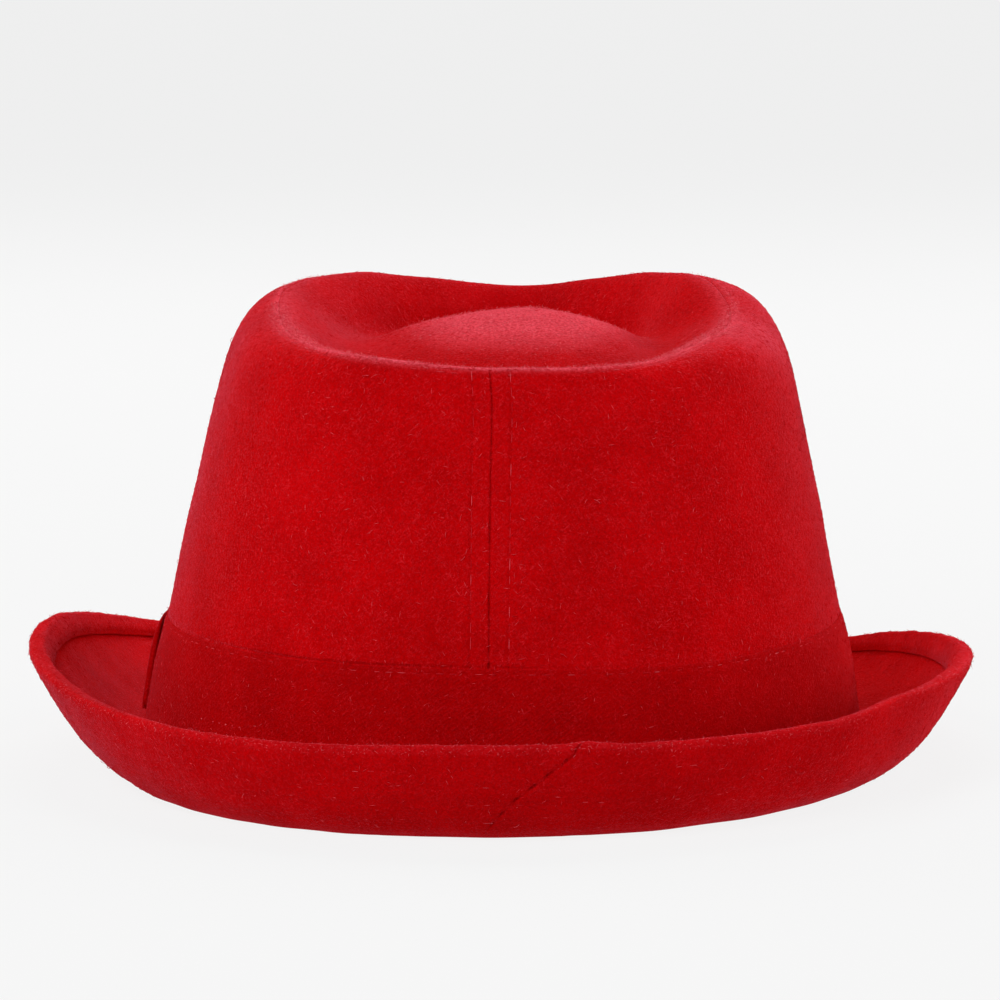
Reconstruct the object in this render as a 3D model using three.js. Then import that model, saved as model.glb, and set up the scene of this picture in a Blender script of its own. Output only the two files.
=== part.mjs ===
// A wool cloth fedora: a teardrop crown sewn from a tapered side and a dished tip, a two-layer brim that
// turns up at the back and sides and dips at the front, a band round the crown and a flat bow at the left.
// Millimetres. +Z is up, +Y is the wearer's front and +X the wearer's right. The brim rests on z = 0.
// A bearing is an angle round the hat: 0 at the centre back, 90 right, 180 at the front and 270 left.
import * as THREE from "three";

// Driving dimensions
const HEAD_HALF_WIDTH = 84.5; // inside of the crown at its foot, for a head of about 58 cm
const HEAD_HALF_LENGTH = 101.5;
const CROWN_FOOT = 9; // height of the crown's lower edge
const CROWN_WALL = 2; // crown cloth with its fused backing
const SEAM_WALL = 1.2; // the same cloth where side and tip are pressed thin at their seam
const CROWN_BELLY = 2; // how far the side swells past a straight taper
const CROWN_LEAN = 1.2; // how far the top of the side leans to the wearer's right
const SEAM_LEAN = 0.2; // how far the seam between side and tip leans the same way
const BAND_TOP = 36; // height of the band's upper edge
const BAND_WALL = 1.2; // the band is folded double
const BAND_FOLD = 0.5; // wall left at the band's upper edge, which is pressed thin
const BRIM_ROOT = 5.5; // height of the brim's underside at the head opening
const BRIM_LAYER = 1.2; // one layer of brim cloth
const GAP = 0.3; // clearance between neighbouring pieces
const SEAM_GROOVE_DEPTH = 0.7; // the back seam of the crown's side
const SEAM_GROOVE_BEARING = 0.6; // half of the groove's width, in degrees
const MOUND = new THREE.Vector3(7, -0.5, 110); // top of the raised middle of the tip
const FLOOR = 0;
const SECTION_COUNT = 60; // sections round the hat, not counting the groove's
const WOOL = { color: 0xb80a14, roughness: 0.95, metalness: 0 };

// The crown's side, once round; the two halves differ a little, as in any worn hat.
// across, along, height: the seam between side and tip
// shoulderOut, shoulderDrop: the rounded corner of the side, from the seam
// pinch: how far the front dents press the side in
const SIDE_RIBS = [
  { bearing: 0, across: 0, along: -84, height: 102.6, shoulderOut: 2, shoulderDrop: 4.4, pinch: 0 },
  { bearing: 30, across: 32.2, along: -73.8, height: 103.2, shoulderOut: 5.1, shoulderDrop: 4, pinch: 0 },
  { bearing: 60, across: 49, along: -44.3, height: 106.4, shoulderOut: 9.5, shoulderDrop: 2.3, pinch: 0 },
  { bearing: 90, across: 55.5, along: -4.2, height: 109.1, shoulderOut: 10.6, shoulderDrop: 6.5, pinch: 0 },
  { bearing: 115, across: 50.1, along: 23.7, height: 115.6, shoulderOut: 11, shoulderDrop: 5.3, pinch: 1.5 },
  { bearing: 137, across: 39, along: 49.5, height: 115.2, shoulderOut: 7.6, shoulderDrop: 7.8, pinch: 6 },
  { bearing: 158, across: 21.8, along: 65.6, height: 111.8, shoulderOut: 5.6, shoulderDrop: 6.5, pinch: 5 },
  { bearing: 180, across: 0, along: 76, height: 109, shoulderOut: 4.5, shoulderDrop: 6.5, pinch: 0 },
  { bearing: 202, across: -21.8, along: 65.6, height: 111.9, shoulderOut: 5.6, shoulderDrop: 6.5, pinch: 5 },
  { bearing: 223, across: -39.6, along: 49.5, height: 114.9, shoulderOut: 7.4, shoulderDrop: 8, pinch: 6 },
  { bearing: 245, across: -52.3, along: 23.7, height: 114.6, shoulderOut: 9.8, shoulderDrop: 5.3, pinch: 1.5 },
  { bearing: 270, across: -54.9, along: -4.2, height: 111.9, shoulderOut: 10.8, shoulderDrop: 7.3, pinch: 0 },
  { bearing: 300, across: -49, along: -44.3, height: 107, shoulderOut: 8.9, shoulderDrop: 3.5, pinch: 0 },
  { bearing: 330, across: -32.2, along: -73.8, height: 104.8, shoulderOut: 5.2, shoulderDrop: 5.6, pinch: 0 },
];

// Where the swell lies on the side: its fullest height, as a share from the band's top to the shoulder,
// and how much of it has built up at the band's top.
const BELLY_HEIGHT = 0.6;
const BELLY_AT_BAND = 0.8;

// The tip's dent from the centre back to the centre front; the left half mirrors the right.
// crestIn, crestRise: the rounded top edge, from the seam towards the mound
// troughIn, troughHeight: the bottom of the dent round the mound
const TIP_RIBS = mirrored([
  { bearing: 0, crestIn: 2.4, crestRise: 0.1, troughIn: 15.4, troughHeight: 94 },
  { bearing: 30, crestIn: 3.6, crestRise: 0, troughIn: 18, troughHeight: 95 },
  { bearing: 60, crestIn: 4.5, crestRise: -0.5, troughIn: 18, troughHeight: 98.5 },
  { bearing: 90, crestIn: 4.5, crestRise: -1, troughIn: 17.5, troughHeight: 101 },
  { bearing: 115, crestIn: 4, crestRise: 0.4, troughIn: 18, troughHeight: 100.5 },
  { bearing: 137, crestIn: 4.5, crestRise: 0.3, troughIn: 19, troughHeight: 98 },
  { bearing: 158, crestIn: 4, crestRise: 1.2, troughIn: 20.5, troughHeight: 95.5 },
  { bearing: 180, crestIn: 4, crestRise: 1.1, troughIn: 21, troughHeight: 94 },
]);

// The tip between those places, as shares of the way from one to the next: inwards, and in height.
// The slope lies between the crest and the trough, the flank and the cap between the trough and the mound.
const SLOPE = { inward: 0.5, height: 0.4 };
const FLANK = { inward: 0.37, height: 0.55 };
const CAP = { inward: 0.77, height: 0.91 };

// The brim's underside as cubic curves, measured out from the head opening and up from the floor.
// dip and flare are a curve's inner control points, and edge is its end.
const BRIM_SECTIONS = [
  { bearing: 0, dipOut: 10, dipUp: -4.6, flareOut: 27.5, flareUp: -4.6, edgeOut: 38, edgeUp: 21.5 },
  { bearing: 22, dipOut: 10.1, dipUp: -3.9, flareOut: 25.3, flareUp: -4.4, edgeOut: 35.2, edgeUp: 21 },
  { bearing: 45, dipOut: 10, dipUp: -2.6, flareOut: 22.1, flareUp: -3.8, edgeOut: 31.5, edgeUp: 21.6 },
  { bearing: 57, dipOut: 9.7, dipUp: -1.9, flareOut: 20.8, flareUp: -2.9, edgeOut: 30.6, edgeUp: 23.5 },
  { bearing: 90, dipOut: 9, dipUp: 0.5, flareOut: 17.8, flareUp: -0.4, edgeOut: 30.7, edgeUp: 23.6 },
  { bearing: 125, dipOut: 11, dipUp: 3, flareOut: 23.7, flareUp: 1.3, edgeOut: 35.3, edgeUp: 16.5 },
  { bearing: 150, dipOut: 13, dipUp: 4, flareOut: 28.7, flareUp: 3, edgeOut: 39, edgeUp: 4.7 },
  { bearing: 180, dipOut: 14, dipUp: 5, flareOut: 30, flareUp: 3.5, edgeOut: 43, edgeUp: -0.5 },
  { bearing: 210, dipOut: 13, dipUp: 4, flareOut: 28, flareUp: 3, edgeOut: 39.7, edgeUp: 8.1 },
  { bearing: 235, dipOut: 11, dipUp: 3, flareOut: 23.7, flareUp: 5, edgeOut: 34.5, edgeUp: 19.5 },
  { bearing: 252, dipOut: 9.8, dipUp: 1.8, flareOut: 19.6, flareUp: 7.4, edgeOut: 30.9, edgeUp: 26.2 },
  { bearing: 270, dipOut: 9, dipUp: 0.5, flareOut: 16.9, flareUp: 7.5, edgeOut: 30.7, edgeUp: 28.2 },
  { bearing: 315, dipOut: 10, dipUp: -2.6, flareOut: 23.7, flareUp: -5.5, edgeOut: 33.6, edgeUp: 21.4 },
  { bearing: 330, dipOut: 10.1, dipUp: -3.5, flareOut: 25.5, flareUp: -6.1, edgeOut: 35.7, edgeUp: 20.3 },
];
const HEM_START = 0.925; // share of the brim's width where the turned hem begins
const HEM_STEPS = [HEM_START, 1];
const BRIM_STEPS = [0, 0.15, 0.3, 0.42, 0.56, 0.7, 0.82, ...HEM_STEPS]; // shares of the brim's width
const EDGE_CORNERS = 3; // corners round the brim's outer edge
const FOLD_CORNERS = 2; // corners round the inside of its fold

// The bow's flat loop as sections from front to rear along the band, gathered where the knot holds it.
// foot: share of the band's height where the section starts
const BOW_SECTIONS = [
  { bearing: 224, foot: 0.03, lift: 1.2, thickness: 1.2 },
  { bearing: 226, foot: 0.03, lift: 1.2, thickness: 2 },
  { bearing: 234, foot: 0.06, lift: 1, thickness: 2.4 },
  { bearing: 243, foot: 0.13, lift: 0.3, thickness: 1.8 },
  { bearing: 251, foot: 0.13, lift: 0.3, thickness: 1.8 },
  { bearing: 260, foot: 0.06, lift: 0.6, thickness: 2 },
  { bearing: 268, foot: 0.03, lift: 0.3, thickness: 1.7 },
  { bearing: 270, foot: 0.03, lift: 0.3, thickness: 1.3 },
];
const BOW_TOP = 0.9; // share of the band's height where every section ends
// A section's outline, pressed thin at the top: share of the loop's width, and level from its
// inner face to its outer one.
const BOW_OUTLINE = [
  { share: 0, level: 0.3 },
  { share: 0, level: 0.7 },
  { share: 0.06, level: 1 },
  { share: 0.7, level: 1 },
  { share: 0.94, level: 0.6 },
  { share: 1, level: 0.4 },
  { share: 1, level: 0.2 },
  { share: 0.94, level: 0 },
  { share: 0.5, level: 0 },
  { share: 0.06, level: 0 },
];

// The bow's knot, a strip over the loop whose ends turn in to the band.
// share, rise: share of the band's height, and distance off the band's face
const KNOT_BEARINGS = [243.5, 245.8, 248.2, 250.5];
const KNOT_OUTLINE = [
  { share: 0.03, rise: 0.3 },
  { share: 0.03, rise: 3 },
  { share: 0.09, rise: 3.6 },
  { share: 0.95, rise: 3.6 },
  { share: 1, rise: 3 },
  { share: 1, rise: 0.3 },
  { share: 0.95, rise: 0.3 },
  { share: 0.95, rise: 2.4 },
  { share: 0.09, rise: 2.4 },
  { share: 0.09, rise: 0.3 },
];

// Bearings of the sections, evenly spread, with the two lips of the back seam's groove added.
const EVEN_BEARINGS = Array.from({ length: SECTION_COUNT }, (_, i) => (360 * i) / SECTION_COUNT);
const BEARINGS = [...EVEN_BEARINGS, SEAM_GROOVE_BEARING, 360 - SEAM_GROOVE_BEARING].sort((a, b) => a - b);

// Rows for the whole round, from the rows of the right half.
function mirrored(rows) {
  const left = rows.slice(1, -1).reverse();
  return [...rows, ...left.map((row) => ({ ...row, bearing: 360 - row.bearing }))];
}

// A table's column at any bearing, on a smooth cubic through the rows of the closed round.
function columnAt(rows, column, bearing) {
  const count = rows.length;
  const turned = THREE.MathUtils.euclideanModulo(bearing, 360);
  const first = rows.findLastIndex((row) => row.bearing <= turned);
  const knot = (k) => rows[(first + k + count) % count].bearing + 360 * Math.floor((first + k) / count);
  const value = (k) => rows[(first + k + count) % count][column];
  const slope = (k) => (value(k + 1) - value(k - 1)) / (knot(k + 1) - knot(k - 1));
  const span = knot(1) - knot(0);
  const t = (turned - knot(0)) / span;
  const blend = t * t * (3 - 2 * t);
  const bend = t * (1 - t) * (slope(0) * (1 - t) - slope(1) * t);
  return value(0) + (value(1) - value(0)) * blend + span * bend;
}

// A point of the head oval, widened by a margin.
function ovalPoint(bearing, margin, height) {
  const angle = THREE.MathUtils.degToRad(bearing);
  const halfWidth = HEAD_HALF_WIDTH + margin;
  const halfLength = HEAD_HALF_LENGTH + margin;
  return new THREE.Vector3(halfWidth * Math.sin(angle), -halfLength * Math.cos(angle), height);
}

// The level direction away from the head, square to the head oval.
function outward(bearing) {
  const angle = THREE.MathUtils.degToRad(bearing);
  const square = new THREE.Vector3(Math.sin(angle) / HEAD_HALF_WIDTH, -Math.cos(angle) / HEAD_HALF_LENGTH, 0);
  return square.normalize();
}

// Knots of a crown rib, in order from the foot of the side to the top of the mound.
const KNOT = {
  foot: 0,
  bandTop: 1,
  upperSide: 2,
  shoulder: 3,
  seam: 4,
  crest: 5,
  slope: 6,
  trough: 7,
  flank: 8,
  cap: 9,
  mound: 10,
};

// One rib of the crown's outer face, as a curve through its knots.
function crownRib(bearing) {
  const side = (column) => columnAt(SIDE_RIBS, column, bearing);
  const tip = (column) => columnAt(TIP_RIBS, column, bearing);
  const out = outward(bearing);
  const foot = ovalPoint(bearing, CROWN_WALL, CROWN_FOOT);
  const seam = new THREE.Vector3(side("across") + SEAM_LEAN, side("along"), side("height"));
  const shoulder = seam.clone().addScaledVector(out, side("shoulderOut"));
  shoulder.x += CROWN_LEAN - SEAM_LEAN;
  shoulder.z -= side("shoulderDrop");
  const bandTop = foot.clone().lerp(shoulder, (BAND_TOP - CROWN_FOOT) / (shoulder.z - CROWN_FOOT));
  const upperSide = bandTop.clone().lerp(shoulder, BELLY_HEIGHT);
  upperSide.addScaledVector(out, CROWN_BELLY - side("pinch"));
  bandTop.addScaledVector(out, BELLY_AT_BAND * CROWN_BELLY);
  const inward = new THREE.Vector3(MOUND.x - seam.x, MOUND.y - seam.y, 0).normalize();
  const crest = seam.clone().addScaledVector(inward, tip("crestIn"));
  crest.z += tip("crestRise");
  const trough = seam.clone().addScaledVector(inward, tip("troughIn")).setZ(tip("troughHeight"));
  const between = (start, end, shares) =>
    start.clone().lerp(end, shares.inward).setZ(THREE.MathUtils.lerp(start.z, end.z, shares.height));
  const slope = between(crest, trough, SLOPE);
  const flank = between(trough, MOUND, FLANK);
  const cap = between(trough, MOUND, CAP);
  const knots = [foot, bandTop, upperSide, shoulder, seam, crest, slope, trough, flank, cap, MOUND];
  return new THREE.CatmullRomCurve3(knots, false, "centripetal");
}

function crownPoint(bearing, knot) {
  return crownRib(bearing).getPoint(knot / KNOT.mound);
}

// The point at a distance outside the crown's outer face, square to it.
function crownOffset(bearing, knot, distance) {
  const bearingStep = 1;
  const knotStep = 0.02;
  const round = crownPoint(bearing + bearingStep, knot).sub(crownPoint(bearing - bearingStep, knot));
  const rise = crownPoint(bearing, Math.min(knot + knotStep, KNOT.mound));
  rise.sub(crownPoint(bearing, Math.max(knot - knotStep, KNOT.foot)));
  return crownPoint(bearing, knot).addScaledVector(round.cross(rise).normalize(), distance);
}

// Two triangles of the quad between corner j and the next corner k of neighbouring outlines.
// The diagonal follows the rising stations, so that the facing sides of two layers split alike.
function quad(here, next, j, k, stations) {
  const rising = stations[k] >= stations[j];
  return rising
    ? [here + j, next + j, next + k, here + j, next + k, here + k]
    : [here + j, next + j, here + k, next + j, next + k, here + k];
}

// Quads between two neighbouring outlines whose corners start at the given vertices.
function belt(here, next, stations) {
  return stations.flatMap((_, j) => quad(here, next, j, (j + 1) % stations.length, stations));
}

function indexedGeometry(points, index) {
  const geometry = new THREE.BufferGeometry();
  geometry.setFromPoints(points);
  geometry.setIndex(index);
  geometry.computeVertexNormals();
  return geometry;
}

// A closed ring from one closed outline per bearing. A station says how far along the cloth a corner lies.
function ringGeometry(outlines, stations) {
  const corners = stations.length;
  const next = (i) => (i + 1) % outlines.length;
  const index = outlines.flatMap((_, i) => belt(i * corners, next(i) * corners, stations));
  return indexedGeometry(outlines.flat(), index);
}

// A closed strip from a run of closed outlines, with a flat face over each end.
function stripGeometry(outlines, stations, flatOutline) {
  const corners = stations.length;
  const last = (outlines.length - 1) * corners;
  const index = outlines.slice(1).flatMap((_, i) => belt(i * corners, (i + 1) * corners, stations));
  THREE.ShapeUtils.triangulateShape(flatOutline, []).forEach(([a, b, c]) => {
    index.push(a, b, c, last + a, last + c, last + b);
  });
  return indexedGeometry(outlines.flat(), index);
}

// A ring of crown cloth. Each row says a knot and the distances of both faces from the crown's outer face.
function crownRing(rows, grooveDepth) {
  const outlines = BEARINGS.map((bearing) => {
    const groove = bearing === 0 ? grooveDepth : 0;
    const outside = rows.map(({ knot, outer }) => crownOffset(bearing, knot, outer - groove));
    const inside = rows.map(({ knot, inner }) => crownOffset(bearing, knot, inner));
    return [...outside, ...inside.reverse()];
  });
  const stations = rows.map(({ knot }) => knot);
  return ringGeometry(outlines, [...stations, ...stations.toReversed()]);
}

// Knots from first to last and the points halfway between them.
function halfKnots(first, last) {
  return Array.from({ length: 2 * (last - first) + 1 }, (_, i) => first + i / 2);
}

// The tapered side of the crown, with a groove down its back seam.
function crownSide() {
  const knots = halfKnots(KNOT.foot, KNOT.seam);
  const wall = (knot) => (knot === KNOT.seam ? SEAM_WALL : CROWN_WALL);
  return crownRing(knots.map((knot) => ({ knot, inner: -wall(knot), outer: 0 })), SEAM_GROOVE_DEPTH);
}

// The band, laid round the foot of the crown's side, with its upper edge thinned.
function hatBand() {
  const middleKnot = 0.5;
  const foldKnot = 0.92;
  const row = (knot, wall) => ({ knot, inner: GAP, outer: GAP + wall });
  const full = [KNOT.foot, middleKnot, foldKnot].map((knot) => row(knot, BAND_WALL));
  return crownRing([...full, row(KNOT.bandTop, BAND_FOLD)], 0);
}

// The dished tip, from just inside the seam over the crest and the trough to the mound.
function crownTip() {
  const seamClearance = 0.1; // in knots
  const start = KNOT.seam + seamClearance;
  const knots = [start, ...halfKnots(KNOT.seam, KNOT.flank).slice(1), KNOT.cap];
  const ring = (knot, distance) => BEARINGS.map((bearing) => crownOffset(bearing, knot, distance));
  const top = knots.map((knot) => ring(knot, 0));
  const under = knots.map((knot) => ring(knot, knot === start ? -SEAM_WALL : -CROWN_WALL));
  const count = BEARINGS.length;
  const rows = 2 * knots.length;
  const lastTop = knots.length - 1;
  const pole = rows * count;
  const index = [];
  for (let i = 0; i < count; i++) {
    const next = (i + 1) % count;
    // The rows run up the top face to the mound, and from the mound down the under face to the seam.
    for (let row = 0; row < rows; row++) {
      const here = row * count;
      const inner = ((row + 1) % rows) * count;
      if (row !== lastTop) {
        index.push(here + i, here + next, inner + next, here + i, inner + next, inner + i);
      }
    }
    index.push(lastTop * count + i, lastTop * count + next, pole);
    index.push(knots.length * count + next, knots.length * count + i, pole + 1);
  }
  const poles = [MOUND, MOUND.clone().setZ(MOUND.z - CROWN_WALL)];
  return indexedGeometry([...top.flat(), ...under.reverse().flat(), ...poles], index);
}

// A point over the band's outer face: share of the band's height, and distance off that face.
function overBand(bearing, share, distance) {
  return crownOffset(bearing, share * KNOT.bandTop, GAP + BAND_WALL + distance);
}

function bowLoop() {
  const outlines = BOW_SECTIONS.map(({ bearing, foot, lift, thickness }) =>
    BOW_OUTLINE.map(({ share, level }) =>
      overBand(bearing, THREE.MathUtils.lerp(foot, BOW_TOP, share), lift + level * thickness)));
  const flat = BOW_OUTLINE.map(({ share, level }) => new THREE.Vector2(level, share));
  return stripGeometry(outlines, BOW_OUTLINE.map(({ share }) => share), flat);
}

function bowKnot() {
  const outlines = KNOT_BEARINGS.map((bearing) =>
    KNOT_OUTLINE.map(({ share, rise }) => overBand(bearing, share, rise)));
  const flat = KNOT_OUTLINE.map(({ share, rise }) => new THREE.Vector2(rise, share));
  return stripGeometry(outlines, KNOT_OUTLINE.map(({ share }) => share), flat);
}

// Heights above the brim's underside: the upper layer's lower face, and the turned hem's two faces.
const UPPER_FACE = BRIM_LAYER + GAP;
const HEM_FACE = UPPER_FACE + BRIM_LAYER + GAP;
const HEM_TOP = HEM_FACE + BRIM_LAYER;

// A point of the brim: step across its width, distance above the underside, and reach beyond the step.
function brimPoint(bearing, { step, distance, beyond }) {
  const at = (column) => columnAt(BRIM_SECTIONS, column, bearing);
  const curve = new THREE.CubicBezierCurve(
    new THREE.Vector2(0, BRIM_ROOT),
    new THREE.Vector2(at("dipOut"), at("dipUp")),
    new THREE.Vector2(at("flareOut"), at("flareUp")),
    new THREE.Vector2(at("edgeOut"), at("edgeUp")),
  );
  // The cloth lies flat where the curve would pass under the floor.
  const laid = (share) => {
    const point = curve.getPoint(THREE.MathUtils.clamp(share, 0, 1));
    return point.setY(Math.max(point.y, FLOOR));
  };
  const stepNudge = 0.04;
  const along = laid(step + stepNudge).sub(laid(step - stepNudge)).normalize();
  const square = new THREE.Vector2(-along.y, along.x);
  const flat = laid(step).addScaledVector(square, distance).addScaledVector(along, beyond);
  return ovalPoint(bearing, 0, flat.y).addScaledVector(outward(bearing), flat.x);
}

// Corners along the brim at one distance above its underside.
function brimRun(steps, distance) {
  return steps.map((step) => ({ step, distance, beyond: 0 }));
}

// Corners of the half circle round the brim's edge, from the underside to the hem.
function edgeArc(radius, count) {
  return Array.from({ length: count }, (_, i) => {
    const angle = Math.PI * ((i + 1) / (count + 1) - 0.5);
    return { step: 1, distance: HEM_TOP / 2 + radius * Math.sin(angle), beyond: radius * Math.cos(angle) };
  });
}

function brimRing(corners) {
  const outlines = BEARINGS.map((bearing) => corners.map((corner) => brimPoint(bearing, corner)));
  return ringGeometry(outlines, corners.map((corner) => corner.step));
}

// The brim's under layer, which turns over the edge and lies on the upper layer as a hem.
function brimUnder() {
  return brimRing([
    ...brimRun(BRIM_STEPS, 0),
    ...edgeArc(HEM_TOP / 2, EDGE_CORNERS),
    ...brimRun(HEM_STEPS, HEM_TOP).reverse(),
    ...brimRun(HEM_STEPS, HEM_FACE),
    ...edgeArc(HEM_TOP / 2 - BRIM_LAYER, FOLD_CORNERS).reverse(),
    ...brimRun(BRIM_STEPS, BRIM_LAYER).reverse(),
  ]);
}

// The brim's upper layer, whose outer edge lies inside the fold of the hem.
function brimUpper() {
  return brimRing([
    ...brimRun(BRIM_STEPS, UPPER_FACE),
    ...brimRun(BRIM_STEPS, UPPER_FACE + BRIM_LAYER).reverse(),
  ]);
}

function piece(name, geometry) {
  const mesh = new THREE.Mesh(geometry, new THREE.MeshStandardMaterial(WOOL));
  mesh.name = name;
  return mesh;
}

const hat = new THREE.Group();
hat.add(
  piece("crown_side", crownSide()),
  piece("crown_tip", crownTip()),
  piece("hat_band", hatBand()),
  piece("bow_loop", bowLoop()),
  piece("bow_knot", bowKnot()),
  piece("brim_upper", brimUpper()),
  piece("brim_under", brimUnder()),
);

// The origin is under the middle of the hat's outline, on the floor.
const middle = new THREE.Box3().setFromObject(hat).getCenter(new THREE.Vector3());
hat.position.set(-middle.x, -middle.y, 0);

export default hat;
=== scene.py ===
"""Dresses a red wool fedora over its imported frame: cloth, seams, stitches and nap in a pale studio."""
import logging
import math
from dataclasses import dataclass, field
from enum import Enum, IntEnum
from typing import Any

import bpy
import numpy as np
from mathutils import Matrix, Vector


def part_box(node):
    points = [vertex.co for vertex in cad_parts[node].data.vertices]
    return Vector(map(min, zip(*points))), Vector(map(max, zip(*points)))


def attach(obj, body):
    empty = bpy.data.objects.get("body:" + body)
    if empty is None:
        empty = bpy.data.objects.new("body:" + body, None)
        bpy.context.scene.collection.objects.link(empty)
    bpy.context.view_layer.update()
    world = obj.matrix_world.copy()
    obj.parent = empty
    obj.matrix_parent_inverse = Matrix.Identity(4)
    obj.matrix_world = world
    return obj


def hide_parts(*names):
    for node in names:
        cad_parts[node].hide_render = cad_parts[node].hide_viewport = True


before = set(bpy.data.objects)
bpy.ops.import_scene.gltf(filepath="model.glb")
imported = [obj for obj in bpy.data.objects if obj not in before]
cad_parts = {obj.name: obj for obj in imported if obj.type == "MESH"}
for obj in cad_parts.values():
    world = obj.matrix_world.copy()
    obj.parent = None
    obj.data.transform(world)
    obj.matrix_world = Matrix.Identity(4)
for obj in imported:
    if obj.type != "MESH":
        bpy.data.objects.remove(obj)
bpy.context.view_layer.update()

LOG = logging.getLogger("fedora")
Array = np.ndarray
Colour = tuple[float, float, float, float]
Piece = bpy.types.Object
Material = bpy.types.Material
Socket = bpy.types.NodeSocket
Tree = bpy.types.NodeTree
MM = 0.001  # the shapes are worked out in millimetres about the crown's axis, and the meshes are in metres
BODY = "root"
GAP = 0.3  # clearance between neighbouring pieces, in mm
SHEEN_ROUGHNESS = 0.2  # the wool's pale sheen where it is seen aslant
SHEEN_TINT = (1.0, 0.31, 0.48, 1.0)
WHITE = (1.0, 1.0, 1.0, 1.0)
# Ways in which the wool's fibres lie: two in the plane of the back, two in the sides' and two in the top's.
FIBRE_WAYS = (
    (0.8, 0.0, 0.6),
    (-0.6, 0.0, 0.8),
    (0.0, 0.8, 0.6),
    (0.0, -0.6, 0.8),
    (0.8, 0.6, 0.0),
    (-0.6, 0.8, 0.0),
)


class Knot(IntEnum):
    """Knots of a crown rib, from the foot of the side to the top of the mound."""

    FOOT = 0
    BAND_TOP = 1
    UPPER_SIDE = 2
    SHOULDER = 3
    SEAM = 4
    CREST = 5
    SLOPE = 6
    TROUGH = 7
    FLANK = 8
    CAP = 9
    MOUND = 10


class Fibre(Enum):
    """Kinds of loose wool: nap that lies on the cloth, fuzz that stands on its edges, and stray curls."""

    NAP = "nap"
    FUZZ = "fuzz"
    STRAY = "stray"


def mirrored(rows: tuple[tuple[float, ...], ...]) -> tuple[tuple[float, ...], ...]:
    """Completes a table of the right half with the same rows for the left half.

    Args:
        rows: Rows from the centre back to the centre front, each starting with its bearing.

    Returns:
        Rows for the whole round.
    """
    return (*rows, *((360.0 - bearing, *values) for bearing, *values in reversed(rows[1:-1])))


def mix(start: Array, end: Array, share: Array | float) -> Array:
    """The point at a share of the way from start to end."""
    return start + (end - start) * share


def unit(vectors: Array) -> Array:
    """The vectors at length 1."""
    return vectors / np.linalg.norm(vectors, axis=-1, keepdims=True)


def bell(distance: Array, width: float) -> Array:
    """A smooth bump that is 1 at no distance and falls off over the width."""
    return np.exp(-((distance / width) ** 2))


@dataclass(frozen=True)
class RoundTable:
    """Named columns over the bearings of a closed round, joined by smooth cubics."""

    columns: tuple[str, ...]
    rows: tuple[tuple[float, ...], ...]

    def at(self, column: str, bearing: Array) -> Array:
        """Reads one column at any bearings.

        Args:
            column: Name of the column.
            bearing: Bearings in degrees.

        Returns:
            One value for each bearing.
        """
        table = np.array(self.rows)
        place = self.columns.index(column)
        knots = np.concatenate([table[-2:, 0] - 360, table[:, 0], table[:3, 0] + 360])
        values = np.concatenate([table[-2:, place], table[:, place], table[:3, place]])
        slopes = np.zeros_like(values)
        slopes[1:-1] = (values[2:] - values[:-2]) / (knots[2:] - knots[:-2])
        turned = np.mod(bearing, 360.0)
        first = np.searchsorted(knots, turned, side="right") - 1
        span = knots[first + 1] - knots[first]
        t = (turned - knots[first]) / span
        bend = t * (1 - t) * (slopes[first] * (1 - t) - slopes[first + 1] * t)
        return mix(values[first], values[first + 1], t * t * (3 - 2 * t)) + span * bend


@dataclass(frozen=True)
class SoftLumps:
    """The slow unevenness of pressed cloth, as a few seeded waves, in mm."""

    height: float
    length: float
    seed: int
    waves: int = 9

    def at(self, points: Array) -> Array:
        """Heights of the unevenness at points of the cloth.

        Args:
            points: Points in mm, in an array of any shape that ends in 3.

        Returns:
            One height in mm for each point.
        """
        chance = np.random.default_rng(self.seed)
        total = np.zeros(points.shape[:-1])
        for _ in range(self.waves):
            way = unit(chance.normal(size=3))
            pitch = self.length * chance.uniform(0.6, 1.7)
            total += np.sin(points @ way * (2 * math.pi / pitch) + chance.uniform(0, 2 * math.pi))
        return self.height * total / math.sqrt(self.waves)


@dataclass(frozen=True)
class HeadOval:
    """The oval of the wearer's head, which the crown and the brim follow, in mm."""

    half_width: float = 84.5
    half_length: float = 101.5

    def point(self, bearing: Array, margin: float, height: float) -> Array:
        """Points of the oval, widened by a margin.

        Args:
            bearing: Bearings in degrees: 0 back, 90 right, 180 front, 270 left.
            margin: How far outside the oval.
            height: Height above the floor.

        Returns:
            One point for each bearing.
        """
        angle = np.radians(bearing)
        across = (self.half_width + margin) * np.sin(angle)
        along = -(self.half_length + margin) * np.cos(angle)
        return np.stack([across, along, np.full_like(angle, height)], -1)

    def outward(self, bearing: Array) -> Array:
        """Level directions away from the head, square to the oval.

        Args:
            bearing: Bearings in degrees.

        Returns:
            One direction for each bearing.
        """
        angle = np.radians(bearing)
        across, along = np.sin(angle) / self.half_width, -np.cos(angle) / self.half_length
        return unit(np.stack([across, along, 0 * angle], -1))


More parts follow.
